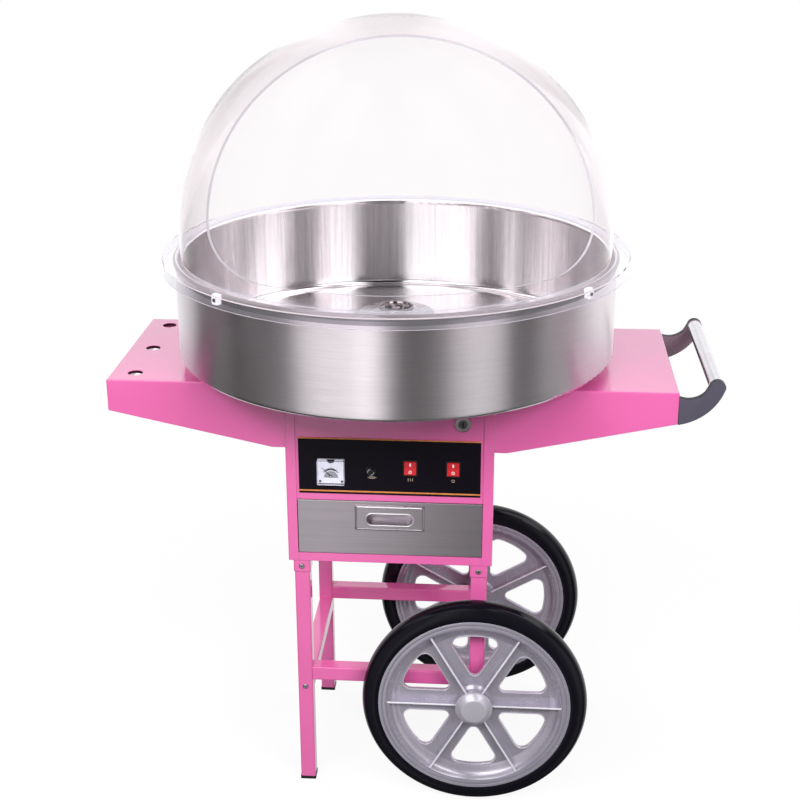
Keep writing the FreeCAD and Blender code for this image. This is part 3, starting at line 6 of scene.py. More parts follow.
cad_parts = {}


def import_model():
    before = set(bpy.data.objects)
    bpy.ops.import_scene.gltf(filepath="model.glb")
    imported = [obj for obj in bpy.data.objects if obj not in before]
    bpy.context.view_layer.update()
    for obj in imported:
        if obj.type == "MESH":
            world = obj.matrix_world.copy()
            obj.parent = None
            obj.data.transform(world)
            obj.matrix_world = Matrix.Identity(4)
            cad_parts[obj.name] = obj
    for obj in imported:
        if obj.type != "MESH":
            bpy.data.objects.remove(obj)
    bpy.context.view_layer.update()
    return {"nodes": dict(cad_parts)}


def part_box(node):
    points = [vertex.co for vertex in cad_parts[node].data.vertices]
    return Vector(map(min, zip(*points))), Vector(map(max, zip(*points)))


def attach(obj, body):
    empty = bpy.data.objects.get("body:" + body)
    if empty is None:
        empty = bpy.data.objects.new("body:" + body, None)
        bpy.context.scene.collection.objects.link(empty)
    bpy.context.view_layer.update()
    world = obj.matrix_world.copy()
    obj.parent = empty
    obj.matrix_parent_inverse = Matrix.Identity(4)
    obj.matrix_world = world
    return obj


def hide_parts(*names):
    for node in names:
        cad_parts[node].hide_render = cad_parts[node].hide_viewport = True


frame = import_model()
NODES = frame["nodes"]

# Materials, lights and camera are in metres. Shapes are in millimetres, with x from the pan's axis.
MM = 0.001
AXIS_X = sum(corner[0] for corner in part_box("pan")) / 2     # the pan's axis stands here
AXIS = Vector((AXIS_X, 0, 0))


def at(x, y, z):
    """Point given in millimetres, x from the pan's axis."""
    return Vector((AXIS_X + x * MM, y * MM, z * MM))


def middle(name):
    low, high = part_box(name)
    return (Vector(low) + Vector(high)) / 2


# ---------------------------------------------------------------- node helpers
def material(name):
    mat = bpy.data.materials.new(name)
    mat.use_nodes = True
    tree = mat.node_tree
    tree.nodes.clear()
    out = tree.nodes.new("ShaderNodeOutputMaterial")
    shader = tree.nodes.new("ShaderNodeBsdfPrincipled")
    tree.links.new(shader.outputs[0], out.inputs[0])
    return mat, tree, shader, out


def reopened(mat):
    """Tree and shader of a material that is finished further on."""
    tree = mat.node_tree
    return tree, next(n for n in tree.nodes if n.type == "BSDF_PRINCIPLED")


def node(tree, kind, inputs=None, **settings):
    made = tree.nodes.new("ShaderNode" + kind)
    for key, value in settings.items():
        setattr(made, key, value)
    for key, value in (inputs or {}).items():
        if hasattr(value, "node"):
            tree.links.new(value, made.inputs[key])
        else:
            made.inputs[key].default_value = value
    return made


def feed(tree, shader, **inputs):
    """Links or sets sockets of the shader; an underscore stands for a space."""
    for key, value in inputs.items():
        socket = shader.inputs[key.replace("_", " ")]
        if hasattr(value, "node"):
            tree.links.new(value, socket)
        else:
            socket.default_value = value


def linked(shader, name):
    """Socket that now feeds the shader's input of this name."""
    return shader.inputs[name].links[0].from_socket


def maths(tree, operation, a, b=0.0, c=0.0):
    return node(tree, "Math", {0: a, 1: b, 2: c}, operation=operation).outputs[0]


def vector_maths(tree, operation, inputs):
    return node(tree, "VectorMath", inputs, operation=operation).outputs


def ramp(tree, value, stops):
    """Grey ramp through stops of (place, level)."""
    made = node(tree, "ValToRGB", {0: value})
    elements = made.color_ramp.elements
    while len(elements) < len(stops):
        elements.new(1.0)
    for element, (place, level) in zip(elements, stops):
        element.position = place
        element.color = (level, level, level, 1.0)
    return made.outputs[0]


def position(tree):
    return node(tree, "TexCoord").outputs["Object"]


def split(tree, vector):
    return node(tree, "SeparateXYZ", {0: vector}).outputs


def joined(tree, x, y, z):
    return node(tree, "CombineXYZ", {0: x, 1: y, 2: z}).outputs[0]


def polar(tree):
    """Position as (angle about the pan's axis, radius, height)."""
    x, y, z = split(tree, position(tree))
    x = maths(tree, "SUBTRACT", x, AXIS_X)
    squares = maths(tree, "MULTIPLY_ADD", x, x, maths(tree, "MULTIPLY", y, y))
    return joined(tree, maths(tree, "ARCTAN2", y, x), maths(tree, "SQRT", squares), z)


def noise(tree, scale, detail=3.0, stretch=(1, 1, 1), rough=0.5, where=None):
    mapping = {"Vector": where or position(tree), "Scale": stretch}
    vector = node(tree, "Mapping", mapping).outputs[0]
    inputs = {"Vector": vector, "Scale": scale, "Detail": detail, "Roughness": rough}
    return node(tree, "TexNoise", inputs).outputs[0]


def map_range(tree, value, from_low, from_high, low, high):
    inputs = {0: value, 1: from_low, 2: from_high, 3: low, 4: high}
    return node(tree, "MapRange", inputs).outputs[0]


def spread(tree, value, low, high):
    """Brings a noise value, mostly between 0.3 and 0.7, to the range from low to high."""
    return map_range(tree, value, 0.3, 0.7, low, high)


def mix_value(tree, share, a, b):
    return node(tree, "Mix", {0: share, 2: a, 3: b}).outputs[0]


def mix_colour(tree, share, a, b):
    """Mix of two colours, each a socket or (red, green, blue, alpha)."""
    return node(tree, "Mix", {0: share, 6: a, 7: b}, data_type="RGBA").outputs[2]


def tinted(tree, share, a, b):
    return mix_colour(tree, share, (*a, 1), (*b, 1))


def mix_shader(tree, share, a, b):
    return node(tree, "MixShader", {0: share, 1: a, 2: b}).outputs[0]


def bump(tree, height, strength, distance, normal=None):
    inputs = {"Height": height, "Strength": strength, "Distance": distance}
    if normal:
        inputs["Normal"] = normal
    return node(tree, "Bump", inputs).outputs[0]


def soft_edge(tree, radius):
    return node(tree, "Bevel", {"Radius": radius}, samples=4).outputs[0]


# ---------------------------------------------------------------- kinds of material
PAINT_ROUGH = 0.16
PAINT_PEEL = 0.00002        # depths of the fine bumps
BRUSH_DEEP = 0.00003
METAL_DEEP = 0.00002
PAINT_EDGE = 0.0012         # radii of the soft edges
PLASTIC_EDGE = 0.0006
METAL_EDGE = 0.0004
BRUSH_TURN = 0.25           # a quarter turn, so that highlights spread across the streaks


def painted(name, low, high):
    """Glossy baked paint with a faint orange peel."""
    mat, tree, shader, _ = material(name)
    cloud = spread(tree, noise(tree, 6.0, 4.0), 0.0, 1.0)
    skin = noise(tree, 260.0, 2.0)
    feed(tree, shader, Base_Color=tinted(tree, cloud, low, high),
         Roughness=spread(tree, noise(tree, 14.0, 5.0), PAINT_ROUGH * 0.8, PAINT_ROUGH * 1.3),
         Normal=bump(tree, skin, 0.25, PAINT_PEEL, soft_edge(tree, PAINT_EDGE)),
         IOR=1.5, Coat_Weight=1.0, Coat_Roughness=0.03)
    return mat


def brushed(name, where, stretch, low, high, rough, wave=0.0, anisotropy=0.8):
    """Brushed stainless steel: streaks along one direction, cloudy patches, slight waviness."""
    mat, tree, shader, _ = material(name)
    vector = where(tree)
    streak = noise(tree, 1.0, 6.0, stretch, 0.7, vector)
    coarse = noise(tree, 1.0, 3.0, tuple(s * 0.2 for s in stretch), 0.6, vector)
    cloud = noise(tree, 9.0, 5.0, rough=0.6)
    patches = maths(tree, "MULTIPLY_ADD", coarse, 0.4, maths(tree, "MULTIPLY", cloud, 0.15))
    tone = maths(tree, "MULTIPLY_ADD", streak, 0.45, patches)
    normal = bump(tree, streak, 0.35, BRUSH_DEEP)
    if wave:
        swell = noise(tree, 1.0, 2.0, (4.5, 9.0, 14.0), where=vector)
        normal = bump(tree, swell, 1.0, wave, normal)
    feed(tree, shader, Base_Color=tinted(tree, spread(tree, tone, 0.0, 1.0), low, high),
         Metallic=1.0, Roughness=spread(tree, tone, rough * 0.85, rough * 1.15),
         Anisotropic=anisotropy, Anisotropic_Rotation=BRUSH_TURN, Normal=normal,
         Tangent=node(tree, "Tangent", direction_type="RADIAL", axis="Z").outputs[0])
    return mat


def plastic(name, low, high, rough, scale=900.0, deep=0.00003, metal=0.0, coat=0.0, specular=0.5):
    """Plastic, rubber or ink with a fine grain; metal above 0 gives it a sheen of metal flakes."""
    mat, tree, shader, _ = material(name)
    grain = noise(tree, scale, 4.0)
    cloud = noise(tree, 18.0, 5.0)
    tone = maths(tree, "MULTIPLY_ADD", grain, 0.5, maths(tree, "MULTIPLY", cloud, 0.5))
    feed(tree, shader, Base_Color=tinted(tree, spread(tree, tone, 0.0, 1.0), low, high),
         Metallic=metal, Roughness=spread(tree, cloud, rough * 0.85, rough * 1.15),
         Coat_Weight=coat, Coat_Roughness=0.08, Specular_IOR_Level=specular,
         Normal=bump(tree, grain, 0.3, deep, soft_edge(tree, PLASTIC_EDGE)))
    return mat


def metal(name, low, high, rough, scale=300.0):
    mat, tree, shader, _ = material(name)
    cloud = noise(tree, scale, 5.0)
    feed(tree, shader, Base_Color=tinted(tree, spread(tree, cloud, 0.0, 1.0), low, high),
         Metallic=1.0, Roughness=spread(tree, noise(tree, 40.0, 4.0), rough * 0.8, rough * 1.25),
         Normal=bump(tree, cloud, 0.15, METAL_DEEP, soft_edge(tree, METAL_EDGE)))
    return mat


def see_through(name, tint, edge_tint, rough=0.01, ior=1.42, clarity=1.0):
    """Clear plastic, tinted more where it is seen edge on, that lets light through unbent."""
    mat, tree, shader, out = material(name)
    haze = noise(tree, 5.0, 3.0)
    facing = node(tree, "LayerWeight", {0: 0.5}).outputs["Facing"]
    slant = maths(tree, "MULTIPLY_ADD", haze, 0.06, maths(tree, "POWER", facing, 2.5))
    feed(tree, shader, Base_Color=tinted(tree, slant, tint, edge_tint),
         Transmission_Weight=clarity, IOR=ior,
         Roughness=spread(tree, noise(tree, 30.0, 4.0), rough * 0.5, rough * 1.5))
    through = node(tree, "BsdfTransparent", {0: (*tint, 1)}).outputs[0]
    path = node(tree, "LightPath").outputs
    mirrored = maths(tree, "SUBTRACT", path["Is Glossy Ray"], path["Is Transmission Ray"])
    unseen = maths(tree, "MAXIMUM", path["Is Shadow Ray"], mirrored)
    tree.links.new(mix_shader(tree, unseen, shader.outputs[0], through), out.inputs[0])
    return mat


# ---------------------------------------------------------------- materials with zones
PAN_SPLIT_R = 0.3524        # between the inner and the outer face of the pan's wall
PAN_ROLL_Z = 0.896          # foot of the roll of the pan's rim
PAN_FLOOR = (0.022, 0.010)  # heights over the pan's foot between which its floor turns level


def polish_and_shade_pan(mat, foot):
    """The inside of the pan is brighter and finely streaked, its paler colour painted light, and
    the outside of the roll of its rim is darker, a painted shade.
    """
    tree, shader = reopened(mat)
    radius = split(tree, polar(tree))[1]
    inside = maths(tree, "LESS_THAN", radius, PAN_SPLIT_R)
    height = split(tree, position(tree))[2]
    level = map_range(tree, height, foot + PAN_FLOOR[0], foot + PAN_FLOOR[1], 0.0, 1.0)
    streaks = spread(tree, noise(tree, 1.0, 6.0, (46, 3, 2), 0.75, polar(tree)), 0.0, 1.0)
    streaks = mix_value(tree, level, streaks, 0.8)
    # paler steel for the inside: painted light over its real fine streaks
    pale_painted_light = tinted(tree, streaks, (0.68, 0.645, 0.66), (0.91, 0.89, 0.91))
    colour = mix_colour(tree, inside, linked(shader, "Base Color"), pale_painted_light)
    outside = maths(tree, "SUBTRACT", 1.0, inside)
    # dark grey on the outside of the rim's roll: painted shade
    rolled_painted_shade = maths(tree, "MULTIPLY", maths(tree, "GREATER_THAN", height, PAN_ROLL_Z), outside)
    colour = mix_colour(tree, rolled_painted_shade, colour, (0.30, 0.27, 0.30, 1))
    dull = mix_value(tree, inside, linked(shader, "Roughness"), 0.27)
    dull = mix_value(tree, maths(tree, "MULTIPLY", level, inside), dull, 0.12)
    feed(tree, shader, Base_Color=colour, Roughness=dull)


DOME_SKIRT = 0.018          # from the foot of the dome's skirt up to its flange
DOME_CENTRE = 0.041         # from the flange up to the bubble's middle
FLANGE_TOP = 0.004          # from the flange's foot to just over its top
HEM = 0.003                 # height of the skirt's cut foot
SAWN_COSINE = 0.86          # a face whose normal has a smaller cosine to the radius is a sawn edge


def frost_edges(mat, foot, skirt):
    """Sawn edges of the dome are pale and frosted, and its flange is a little hazy."""
    tree, shader = reopened(mat)
    x, y, height = split(tree, position(tree))
    z = maths(tree, "MAXIMUM", maths(tree, "SUBTRACT", height, foot + DOME_CENTRE), 0.0)
    out = joined(tree, maths(tree, "SUBTRACT", x, AXIS_X), y, z)
    radial = vector_maths(tree, "NORMALIZE", {0: out})[0]
    normal = node(tree, "NewGeometry").outputs["True Normal"]
    square = maths(tree, "ABSOLUTE", vector_maths(tree, "DOT_PRODUCT", {0: radial, 1: normal})[1])
    sawn = maths(tree, "MULTIPLY", maths(tree, "LESS_THAN", square, SAWN_COSINE),
                 maths(tree, "GREATER_THAN", height, foot + FLANGE_TOP))
    upright = maths(tree, "ABSOLUTE", split(tree, normal)[2])
    hem = maths(tree, "MULTIPLY", maths(tree, "GREATER_THAN", upright, 0.8),
                maths(tree, "LESS_THAN", height, skirt + HEM))
    edge = maths(tree, "MAXIMUM", sawn, hem)
    flange = maths(tree, "LESS_THAN", height, foot + FLANGE_TOP)
    clearness = maths(tree, "MULTIPLY_ADD", edge, -0.80,
                      maths(tree, "MULTIPLY_ADD", flange, -0.04, 1.0))
    dull = maths(tree, "MULTIPLY_ADD", edge, 0.35,
                 maths(tree, "MULTIPLY_ADD", flange, 0.03, 0.012))
    hazy = mix_colour(tree, flange, linked(shader, "Base Color"), (0.92, 0.915, 0.96, 1))
    sawn_tint = tinted(tree, noise(tree, 700.0), (0.48, 0.45, 0.49), (0.60, 0.56, 0.61))
    feed(tree, shader, Base_Color=mix_colour(tree, edge, hazy, sawn_tint),
         Transmission_Weight=clearness, Roughness=dull)


TOP_LINE = 0.0018               # width of the orange line along the panel's top
LOW_LINE = (0.0046, 0.0013)     # the lower line's middle over the panel's foot, half its width


def control_film():
    """Black printed film with a thin orange line along its top and one just above its foot."""
    mat = plastic("panel_black", (0.0045, 0.0035, 0.0065), (0.0065, 0.0050, 0.0095), 0.25, 1200.0,
                  0.00001, specular=0.10)
    tree, shader = reopened(mat)
    low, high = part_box("control_panel")
    z = split(tree, position(tree))[2]
    top = maths(tree, "GREATER_THAN", z, high[2] - TOP_LINE)
    line = maths(tree, "COMPARE", z, low[2] + LOW_LINE[0], LOW_LINE[1])
    lines = maths(tree, "MAXIMUM", top, line)
    grain = spread(tree, noise(tree, 120.0), 0.0, 1.0)
    ink = tinted(tree, grain, (0.62, 0.20, 0.065), (0.76, 0.30, 0.10))
    feed(tree, shader, Base_Color=mix_colour(tree, lines, linked(shader, "Base Color"), ink))
    return mat


# ---------------------------------------------------------------- materials
PINK = painted("pink_paint", (0.78, 0.130, 0.400), (0.83, 0.145, 0.430))
PAN_STEEL = brushed("pan_steel", polar, (30, 900, 2600), (0.66, 0.605, 0.640),
                    (0.80, 0.745, 0.780), 0.36, wave=0.0004, anisotropy=1.0)
PLAIN_STEEL = brushed("drawer_steel", position, (12, 2000, 2400), (0.45, 0.405, 0.445),
                      (0.63, 0.575, 0.62), 0.30)
# near white steel for the pull's lip and pocket bead: a painted highlight
PULL_STEEL_HIGHLIGHT = metal("pull_steel_highlight", (0.90, 0.86, 0.90), (0.96, 0.93, 0.96), 0.42)
PULL_EDGE = metal("pull_edge", (0.50, 0.46, 0.50), (0.62, 0.58, 0.62), 0.30)
TYRE = plastic("tyre_rubber", (0.0034, 0.0030, 0.0060), (0.0055, 0.0048, 0.0090), 0.15, 700.0,
               0.00001, specular=0.24)
WHEEL = plastic("wheel_plastic", (0.45, 0.42, 0.50), (0.54, 0.505, 0.59), 0.26, 240.0, 0.00001,
                metal=0.55, coat=0.3)
WHEEL_CAP = plastic("wheel_cap", (0.50, 0.475, 0.545), (0.58, 0.55, 0.625), 0.30, 1400.0, 0.00001,
                    metal=0.35, coat=0.3)
# a little paler than the wheel: a painted highlight on the raised window beads
WHEEL_BEAD_HIGHLIGHT = plastic("wheel_beads", (0.54, 0.515, 0.59), (0.64, 0.61, 0.69), 0.30, 900.0, 0.00001,
                     metal=0.35, coat=0.3)
# dark grey rings: painted shade in the grooves between the rim's raised bands
WHEEL_GROOVE_SHADE = plastic("wheel_grooves", (0.17, 0.16, 0.21), (0.23, 0.22, 0.28), 0.4, 900.0, 0.00001)
# pale strips along the ribs' edges: a painted highlight
WHEEL_RIB_HIGHLIGHT = plastic("wheel_edges", (0.78, 0.76, 0.84), (0.88, 0.86, 0.94), 0.28, 900.0, 0.00001,
                     metal=0.15, coat=0.4)
BRACKET = plastic("bracket_plastic", (0.080, 0.072, 0.100), (0.100, 0.091, 0.124), 0.42, 1500.0,
                  0.00004, specular=0.3)
# near black: painted shade on the brackets' edges and on the grip's dark strip
SHADE_BLACK = plastic("shade_black", (0.012, 0.011, 0.016), (0.020, 0.018, 0.025), 0.45, 1500.0,
                       0.00003, specular=0.25)
BLACK = plastic("black_plastic", (0.006, 0.006, 0.008), (0.010, 0.010, 0.013), 0.30, specular=0.4)
# near black maroon: painted shade inside the cone holes
HOLE_SHADE = plastic("hole_shade_sleeve", (0.030, 0.004, 0.012), (0.050, 0.008, 0.022), 0.5, specular=0.2)
METER_WHITE = plastic("meter_white", (0.52, 0.52, 0.60), (0.68, 0.67, 0.76), 0.35, 300.0, 0.00002)
# paler and pinker than the front bracket's plastic: painted light with a painted pink reflection
BRACKET_REAR_LIT = plastic("bracket_rear_painted_light", (0.20, 0.145, 0.175), (0.245, 0.175, 0.21), 0.42, 1500.0,
                       0.00004, specular=0.3)
# near black for the meter's printed scale and its needle, and painted shade in the lock's keyway
INK_AND_SHADE = plastic("dial_ink_and_shade", (0.006, 0.006, 0.008), (0.010, 0.010, 0.014), 0.5, specular=0.2)
GREY_MARK = plastic("dial_grey", (0.16, 0.16, 0.18), (0.25, 0.25, 0.28), 0.45)
SIGN_INK = plastic("sign_ink", (0.62, 0.44, 0.34), (0.74, 0.55, 0.43), 0.5)
# white print on the rockers, its bar grown into a painted highlight
WHITE_MARK_AND_GLARE = plastic("white_mark_and_glare", (0.86, 0.80, 0.80), (0.94, 0.90, 0.90), 0.30)
RED = plastic("rocker_red", (0.55, 0.006, 0.016), (0.70, 0.016, 0.028), 0.16, coat=0.6)
CHROME = metal("chrome", (0.72, 0.71, 0.75), (0.82, 0.81, 0.85), 0.12)
SATIN = metal("satin_grip", (0.66, 0.64, 0.68), (0.74, 0.72, 0.76), 0.26, 45.0)
# dark steel for the lock's plug and the clip screws, and painted shade for the head's ports and the
# screws' cross recesses
DARK_STEEL_AND_SHADE = metal("dark_steel_and_shade", (0.10, 0.10, 0.11), (0.18, 0.18, 0.19), 0.25)
DARK_CHROME = metal("dark_chrome", (0.40, 0.35, 0.36), (0.56, 0.51, 0.52), 0.10, 400.0)
ZINC = metal("zinc", (0.50, 0.50, 0.53), (0.64, 0.64, 0.67), 0.28)
CLEAR = see_through("clear_acrylic", (0.992, 0.966, 0.973), (0.95, 0.91, 0.95), ior=1.17)
LENS = see_through("meter_clear", (0.98, 0.98, 0.99), (0.90, 0.90, 0.93))
CLIP = see_through("clip_acrylic", (0.95, 0.94, 0.97), (0.88, 0.87, 0.92), 0.2, 1.45, 0.35)
FILM = control_film()
polish_and_shade_pan(PAN_STEEL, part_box("pan")[0][2])
frost_edges(CLEAR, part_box("dome")[0][2] + DOME_SKIRT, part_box("dome")[0][2])

# Every node is zinc until it is dressed.
for cad in NODES.values():
    cad.data.materials.clear()
    cad.data.materials.append(ZINC)


def dress(mat, *names):
    for name in names:
        NODES[name].data.materials[0] = mat


dress(PINK, "left_side_panel", "right_side_panel", "back_panel", "cabinet_floor", "front_fascia",
      "cabinet_top", "motor_deck", "left_shelf", "right_shelf", "front_left_leg", "rear_left_leg",
      "front_right_leg", "rear_right_leg", "cross_rails", "side_rails")
dress(PAN_STEEL, "pan")
dress(PLAIN_STEEL, "drawer_front", "drawer_pull", "drawer_tray", "drawer_runners")
dress(TYRE, "front_tyre", "rear_tyre")
dress(WHEEL, "front_wheel_rim", "rear_wheel_rim", "front_hub_cap", "rear_hub_cap")
dress(BRACKET, "front_handle_bracket", "rear_handle_bracket")
dress(BLACK, "foot_caps", "switch_bezels", "fuse_holder", "fuse_cap", "power_inlet")
dress(METER_WHITE, "meter_case")
dress(INK_AND_SHADE, "meter_needle")
dress(FILM, "control_panel")
dress(RED, "heat_rocker", "power_rocker")
dress(DARK_CHROME, "lock_barrel")
dress(DARK_STEEL_AND_SHADE, "lock_plug", "clip_screws")
dress(SATIN, "handle_grip")
dress(CLEAR, "dome")
dress(CLIP, "dome_clips")
dress(LENS, "meter_lens")


# ---------------------------------------------------------------- meshes
def link(name, mesh, mats=()):
    mesh.shade_smooth()
    made = bpy.data.objects.new(name, mesh)
    bpy.context.collection.objects.link(made)
    for mat in mats:
        mesh.materials.append(mat)
    return made


def mesh_object(name, verts, faces):
    mesh = bpy.data.meshes.new(name)
    mesh.from_pydata(verts, [], faces)
    mesh.update()
    return link(name, mesh)


def round_steps(steps):
    return [2 * math.pi * i / steps for i in range(steps)]


def across(start, end):
    """Unit vector across the line from start to end, in its own plane."""
    (ax, az), (bx, bz) = start, end
    size = math.hypot(bx - ax, bz - az) or 1.0
    return (bz - az) / size, -(bx - ax) / size


SPIN_STEPS = 144
LATHE_STEPS = 96
TUBE_SIDES = 8


class Shape:
    """Collects closed surfaces in millimetres, then becomes one piece that rides on a body."""

    def __init__(self):
        self.verts = []
        self.faces = []

    def loops(self, rows, closed=False):
        """Skin over rings of points; the first and last rings are capped unless closed."""
        base = len(self.verts)
        count = len(rows[0])
        for row in rows:
            self.verts.extend(row)
        spans = len(rows) if closed else len(rows) - 1
        for i in range(spans):
            a = base + i * count
            b = base + (i + 1) % len(rows) * count
            for j in range(count):
                k = (j + 1) % count
                self.faces.append((a + j, a + k, b + k, b + j))
        if not closed:
            last = base + (len(rows) - 1) * count
            self.faces.append(tuple(base + j for j in reversed(range(count))))
            self.faces.append(tuple(last + j for j in range(count)))

    def prism(self, outline, y0, y1, edge=0.0):
        """Plate seen along Y: outline in (x, z), with its front edge chamfered by edge."""
        rows = [[(x, y1, z) for x, z in outline]]
        rows.append([(x, y0 + edge, z) for x, z in outline])
        if edge:
            cx = sum(x for x, _ in outline) / len(outline)
            cz = sum(z for _, z in outline) / len(outline)
            shrunk = []
            for x, z in outline:
                far = math.hypot(x - cx, z - cz) or 1.0
                keep = max(far - edge, 0.0) / far
                shrunk.append((cx + (x - cx) * keep, y0, cz + (z - cz) * keep))
            rows.append(shrunk)
        self.loops(rows)

    def spin_y(self, centre, profile):
        """Closed ring round an axis along Y; the profile is (radius, y)."""
        self.loops([[(centre.x + r * math.cos(a), centre.y + y, centre.z + r * math.sin(a))
                     for r, y in profile] for a in round_steps(SPIN_STEPS)], closed=True)

    def lathe_y(self, centre, profile):
        """Solid turned about an axis along Y, flat at both ends; the profile is (radius, y)."""
        self.loops([[(centre.x + r * math.cos(a), centre.y + y, centre.z + r * math.sin(a))
                     for a in round_steps(LATHE_STEPS)] for r, y in profile])

    def lathe_z(self, x, y, profile, steps=72, closed=False):
        """Solid turned about an upright axis; the profile is (radius, z)."""
        self.loops([[(x + r * math.cos(a), y + r * math.sin(a), z)
                     for a in round_steps(steps)] for r, z in profile], closed)

    def ridge(self, start, end, y, sign, half, rise):
        """Straight raised edge with a rounded top between two points of an XZ plane."""
        nx, nz = across(start, end)
        cross = ((-half, -0.6), (-half, 0.1), (-half * 0.6, rise),
                 (half * 0.6, rise), (half, 0.1), (half, -0.6))
        self.loops([[(x + nx * d, y + sign * up, z + nz * d) for d, up in cross]
                    for x, z in (start, end)])

    def tube(self, path, y, r):
        """Bead of round section along a closed path in an XZ plane."""
        rows = []
        for i, (px, pz) in enumerate(path):
            nx, nz = across(path[i - 1], path[(i + 1) % len(path)])
            rows.append([(px + nx * r * math.cos(a), y + r * math.sin(a),
                          pz + nz * r * math.cos(a)) for a in round_steps(TUBE_SIDES)])
        self.loops(rows, closed=True)

    def piece(self, name, body, mat, matrix=None, sharp=32):
        """Makes the piece; edges that turn by more than sharp degrees stay sharp."""
        mesh = bpy.data.meshes.new(name)
        mesh.from_pydata([tuple(at(*v)) for v in self.verts], [], self.faces)
        bm = bmesh.new()
        bm.from_mesh(mesh)
        bmesh.ops.recalc_face_normals(bm, faces=bm.faces)
        bm.to_mesh(mesh)
        bm.free()
        if matrix is not None:
            mesh.transform(matrix)
        made = link(name, mesh, (mat,))
        mesh.set_sharp_from_angle(angle=math.radians(sharp))
        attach(made, body)
        return made


def arc(cx, cz, r, start, end, steps=10):
    """Points round a centre; angles in degrees from +X towards +Z."""
    points = []
    for i in range(steps + 1):
        a = math.radians(start + (end - start) * i / steps)
        points.append((cx + r * math.cos(a), cz + r * math.sin(a)))
    return points


def band(cx, cz, inner, outer, start, end, steps=20):
    return arc(cx, cz, outer, start, end, steps) + arc(cx, cz, inner, end, start, steps)


def bar(cx, cz, w, h, turn=0.0):
    c, s = math.cos(math.radians(turn)), math.sin(math.radians(turn))
    corners = ((-w / 2, -h / 2), (w / 2, -h / 2), (w / 2, h / 2), (-w / 2, h / 2))
    return [(cx + x * c - z * s, cz + x * s + z * c) for x, z in corners]


def rounded(w, h, r, cx, cz):
    points = []
    for sx, sz, start in ((1, 1, 0), (-1, 1, 90), (-1, -1, 180), (1, -1, 270)):
        corner = (cx + sx * (w / 2 - r), cz + sz * (h / 2 - r))
        points += arc(*corner, r, start, start + 90, 8)
    return points


# ---------------------------------------------------------------- wheels
RIM_WALL_R = 146.0
WEB_FACE = (2.5, 3.5)       # web's faces, outboard and inboard of the wheel's middle
WINDOW_R = 123.0
WINDOW_APEX = 41.0          # where a window's straight sides would meet, from the wheel's middle
WINDOW_TIP_R = 9.0
WINDOW_CORNER_R = 13.0
WINDOW_GROWN = 1.4          # the bead runs this far outside a window's outline
BEAD_R = 1.0
HUB_R = 27.0
RIB_FACE = 16.0
RIB_HIGHLIGHT = (1.5, 0.7)       # half width and rise of the pale edge on a rib, a painted highlight
# Profiles of the raised bands, (radius, distance from the wheel's middle).
OUTER_BAND = [(153.6, 18.3), (153.8, 18.85), (154.5, 18.98), (157.6, 18.98), (158.6, 18.8),
              (158.9, 18.3)]
INNER_BAND = [(146.2, 18.3), (146.5, 18.7), (147.3, 18.85), (151.0, 18.85), (151.8, 18.7),
              (152.0, 18.3)]
# radii of the dark rings of painted groove shade
GROOVE_SHADE_RADII = (RIM_WALL_R + 0.1, 152.8)
GROOVE_SHADE_PROFILE = ((-1.0, 18.2), (-1.0, 18.56), (1.0, 18.56), (1.0, 18.2))
CAP_PROFILE = [(26.6, 21.4), (29.4, 21.5), (30.5, 22.4), (30.8, 23.6), (30.6, 25.2), (29.8, 26.6),
               (21.2, 34.2), (20.2, 34.8), (18.6, 35.0)]


def window_path(grown, turn):
    """Outline of a wheel window grown all round, upright along +Z before it is turned."""
    apex = WINDOW_APEX - 2 * grown
    far = WINDOW_R + grown
    corner = WINDOW_CORNER_R + grown
    tip = WINDOW_TIP_R + grown
    slope = math.radians(30)
    dx, dz = math.sin(slope), math.cos(slope)
    ox, oz = -corner * dz, apex + corner * dx
    b = ox * dx + oz * dz
    t = -b + math.sqrt(b * b - (ox * ox + oz * oz - (far - corner) ** 2))
    cx, cz = ox + t * dx, oz + t * dz
    edge = math.degrees(math.atan2(cz, cx))
    right = arc(0, apex + 2 * tip, tip, -90, -30, 6) + arc(cx, cz, corner, -30, edge, 8)
    right += arc(0, 0, far, edge, 90, 12)[1:]
    path = right + [(-x, z) for x, z in reversed(right[1:-1])]
    c, s = math.cos(math.radians(turn)), math.sin(math.radians(turn))
    return [(x * c - z * s, x * s + z * c) for x, z in path]


